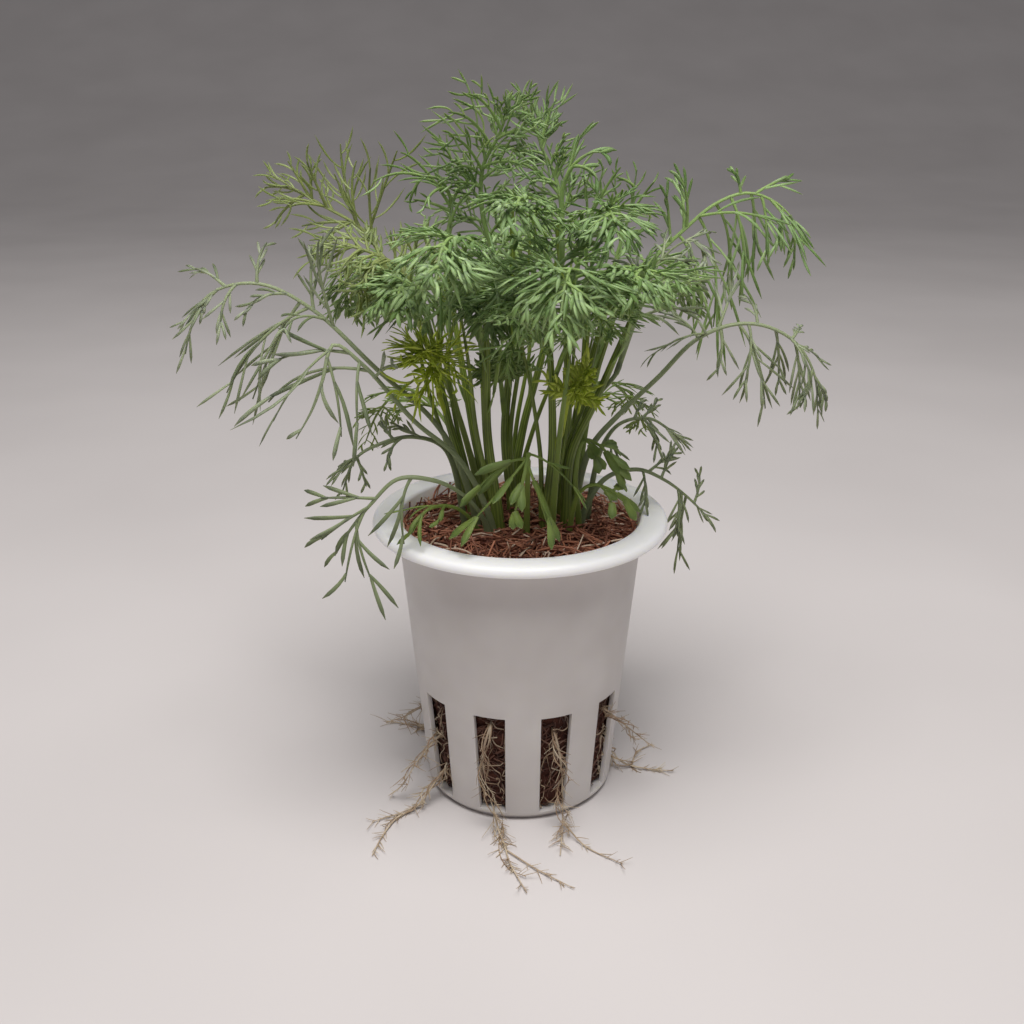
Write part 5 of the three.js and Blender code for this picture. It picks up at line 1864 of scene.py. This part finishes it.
ROOT_TAN = root_material()
for seed, (name, root) in enumerate(ROOTS.items(), start=FIRST_ROOT_SEED):
    strands = root_strands(root, random.Random(seed))
    piece = new_piece(name.replace("root_", "dill_root_"), strand_mesh(name, strands))
    run(piece, strand_tree, {"Sides": ROOT_SIDES, "Groove": 0.0, "Material": ROOT_TAN})
    settle(piece, "root_fibre", name)
    print(f"{piece.name}: {len(strands)} strands")

# %% Rootlets in the slots
ROOTLETS_PER_SLOT = 11
ROOTLET_WIDTHS = (0.14, 0.12, 0.07)
ROOTLET_POINTS = 7
ROOTLET_STEPS = 14
ROOTLET_SIDES = 5
WIDEST = 0.92
LOWEST, HIGHEST = 2.6, 24.4


def slot_rootlet(slot, rng):
    """A thin root that wanders down or across one slot, on the face of the coir."""
    middle = -math.pi / 2 + (slot + 0.5) * PITCH
    z, turn = rng.uniform(5, 24), rng.uniform(-0.9, 0.9)
    drift, fall = rng.uniform(-0.5, 0.5), rng.uniform(-1.9, 0.4)
    points = []
    for _ in range(ROOTLET_POINTS):
        angle = middle + turn * slot_half_angle(z)
        depth = inner_radius(z) + rng.uniform(-0.5, 0.5)
        points.append((depth * math.cos(angle), depth * math.sin(angle), z))
        turn = min(max(turn + drift + rng.uniform(-0.25, 0.25), -WIDEST), WIDEST)
        z = min(max(z + fall + rng.uniform(-0.8, 0.8), LOWEST), HIGHEST)
    return path(points, ROOTLET_STEPS)


rng = random.Random(11)
rootlets = [strand(slot_rootlet(slot, rng), ROOTLET_WIDTHS)
            for slot in range(SLOTS) for _ in range(ROOTLETS_PER_SLOT)]
piece = new_piece("slot_rootlets", strand_mesh("slot_rootlets", rootlets))
run(piece, strand_tree, {"Sides": ROOTLET_SIDES, "Groove": 0.0, "Material": ROOT_TAN})
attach(piece, "root")
print(f"{len(rootlets)} rootlets in {SLOTS} slots")

# %% [markdown]
# ## Floor, light and camera
#
# A plain pale sweep runs back from the pot and curves up behind it, so there is no edge in
# the view. One wide soft light hangs overhead and a little to the front: it makes the rim
# and the top of the leaves bright and leaves the tapering wall of the pot in soft shade.
# The pale room round it fills that shade.

# %% Stage, in metres
SWEEP_HALF_WIDTH = 5.0
SWEEP_FRONT = -1.5
SWEEP_BACK = 1.0
SWEEP_BEND = 2.0
SWEEP_HEIGHT = 4.0
SWEEP_STEPS = 16


def stage_material():
    """A painted studio sweep, matt and faintly uneven."""
    material, tree, shader = new_material("Matt painted sweep", roughness=0.8, ior=1.45)
    cloud = patches(tree, 120.0, low=0.3, high=0.7)
    own = add(tree, MIX, {"Factor": cloud, "A": "#c8c2c1", "B": "#cfc9c8"}, **COLOUR)
    coloured(tree, shader, own)
    return material


def sweep():
    """A floor that turns up into a wall through a quarter round."""
    outline = [(SWEEP_FRONT, 0.0)]
    for k in range(SWEEP_STEPS + 1):
        a = math.pi / 2 * k / SWEEP_STEPS
        outline.append((SWEEP_BACK + SWEEP_BEND * math.sin(a), SWEEP_BEND * (1 - math.cos(a))))
    outline.append((SWEEP_BACK + SWEEP_BEND, SWEEP_HEIGHT))
    mesh = bpy.data.meshes.new("studio_sweep")
    sides = (-SWEEP_HALF_WIDTH, SWEEP_HALF_WIDTH)
    points = [(x, y, z) for y, z in outline for x in sides]
    faces = [(2 * k, 2 * k + 1, 2 * k + 3, 2 * k + 2) for k in range(len(outline) - 1)]
    mesh.from_pydata(points, [], faces)
    mesh.shade_smooth()
    return new_piece("studio_sweep", mesh)


floor_piece = sweep()
floor_piece.data.materials.append(stage_material())
print(f"a sweep {2 * SWEEP_HALF_WIDTH} m wide")

# %% Light
KEY_PLACE = Vector((0.0, -0.24, 0.85))
KEY_AIM = Vector((0, 0.0, 0.05))
KEY_SIZE = 0.6
KEY_POWER = 8.4
ROOM_STRENGTH = 0.28

lamp = bpy.data.lights.new("key", "AREA")
lamp.shape = "DISK"
lamp.size = KEY_SIZE
lamp.energy = KEY_POWER
lamp.color = srgb("#fffefc")[:3]
key = new_piece("key", lamp)
key.location = KEY_PLACE
key.rotation_euler = (KEY_AIM - KEY_PLACE).to_track_quat("-Z", "Y").to_euler()

world = bpy.data.worlds.new("Soft room")
world.use_nodes = True
background = world.node_tree.nodes["Background"]
background.inputs["Color"].default_value = srgb("#e4e4e6")
background.inputs["Strength"].default_value = ROOM_STRENGTH
bpy.context.scene.world = world
print(f"one soft lamp of {KEY_POWER} W, {KEY_SIZE} m wide")

# %% Camera
CAMERA_PLACE = Vector((-7.5, -220.1, 142.9)) * MM
LOOK_DOWN = math.radians(20.465)
LOOK_RIGHT = math.radians(1.528)
LENS = 40.43
NEAREST = 0.01

camera = new_piece("camera", bpy.data.cameras.new("camera"))
camera.data.lens = LENS
camera.data.clip_start = NEAREST
camera.location = CAMERA_PLACE
camera.rotation_euler = (math.pi / 2 - LOOK_DOWN, 0, -LOOK_RIGHT)
bpy.context.scene.camera = camera
bpy.context.scene.view_settings.view_transform = "Standard"
print(f"camera {LENS} mm, {math.degrees(LOOK_DOWN):.1f} degrees down")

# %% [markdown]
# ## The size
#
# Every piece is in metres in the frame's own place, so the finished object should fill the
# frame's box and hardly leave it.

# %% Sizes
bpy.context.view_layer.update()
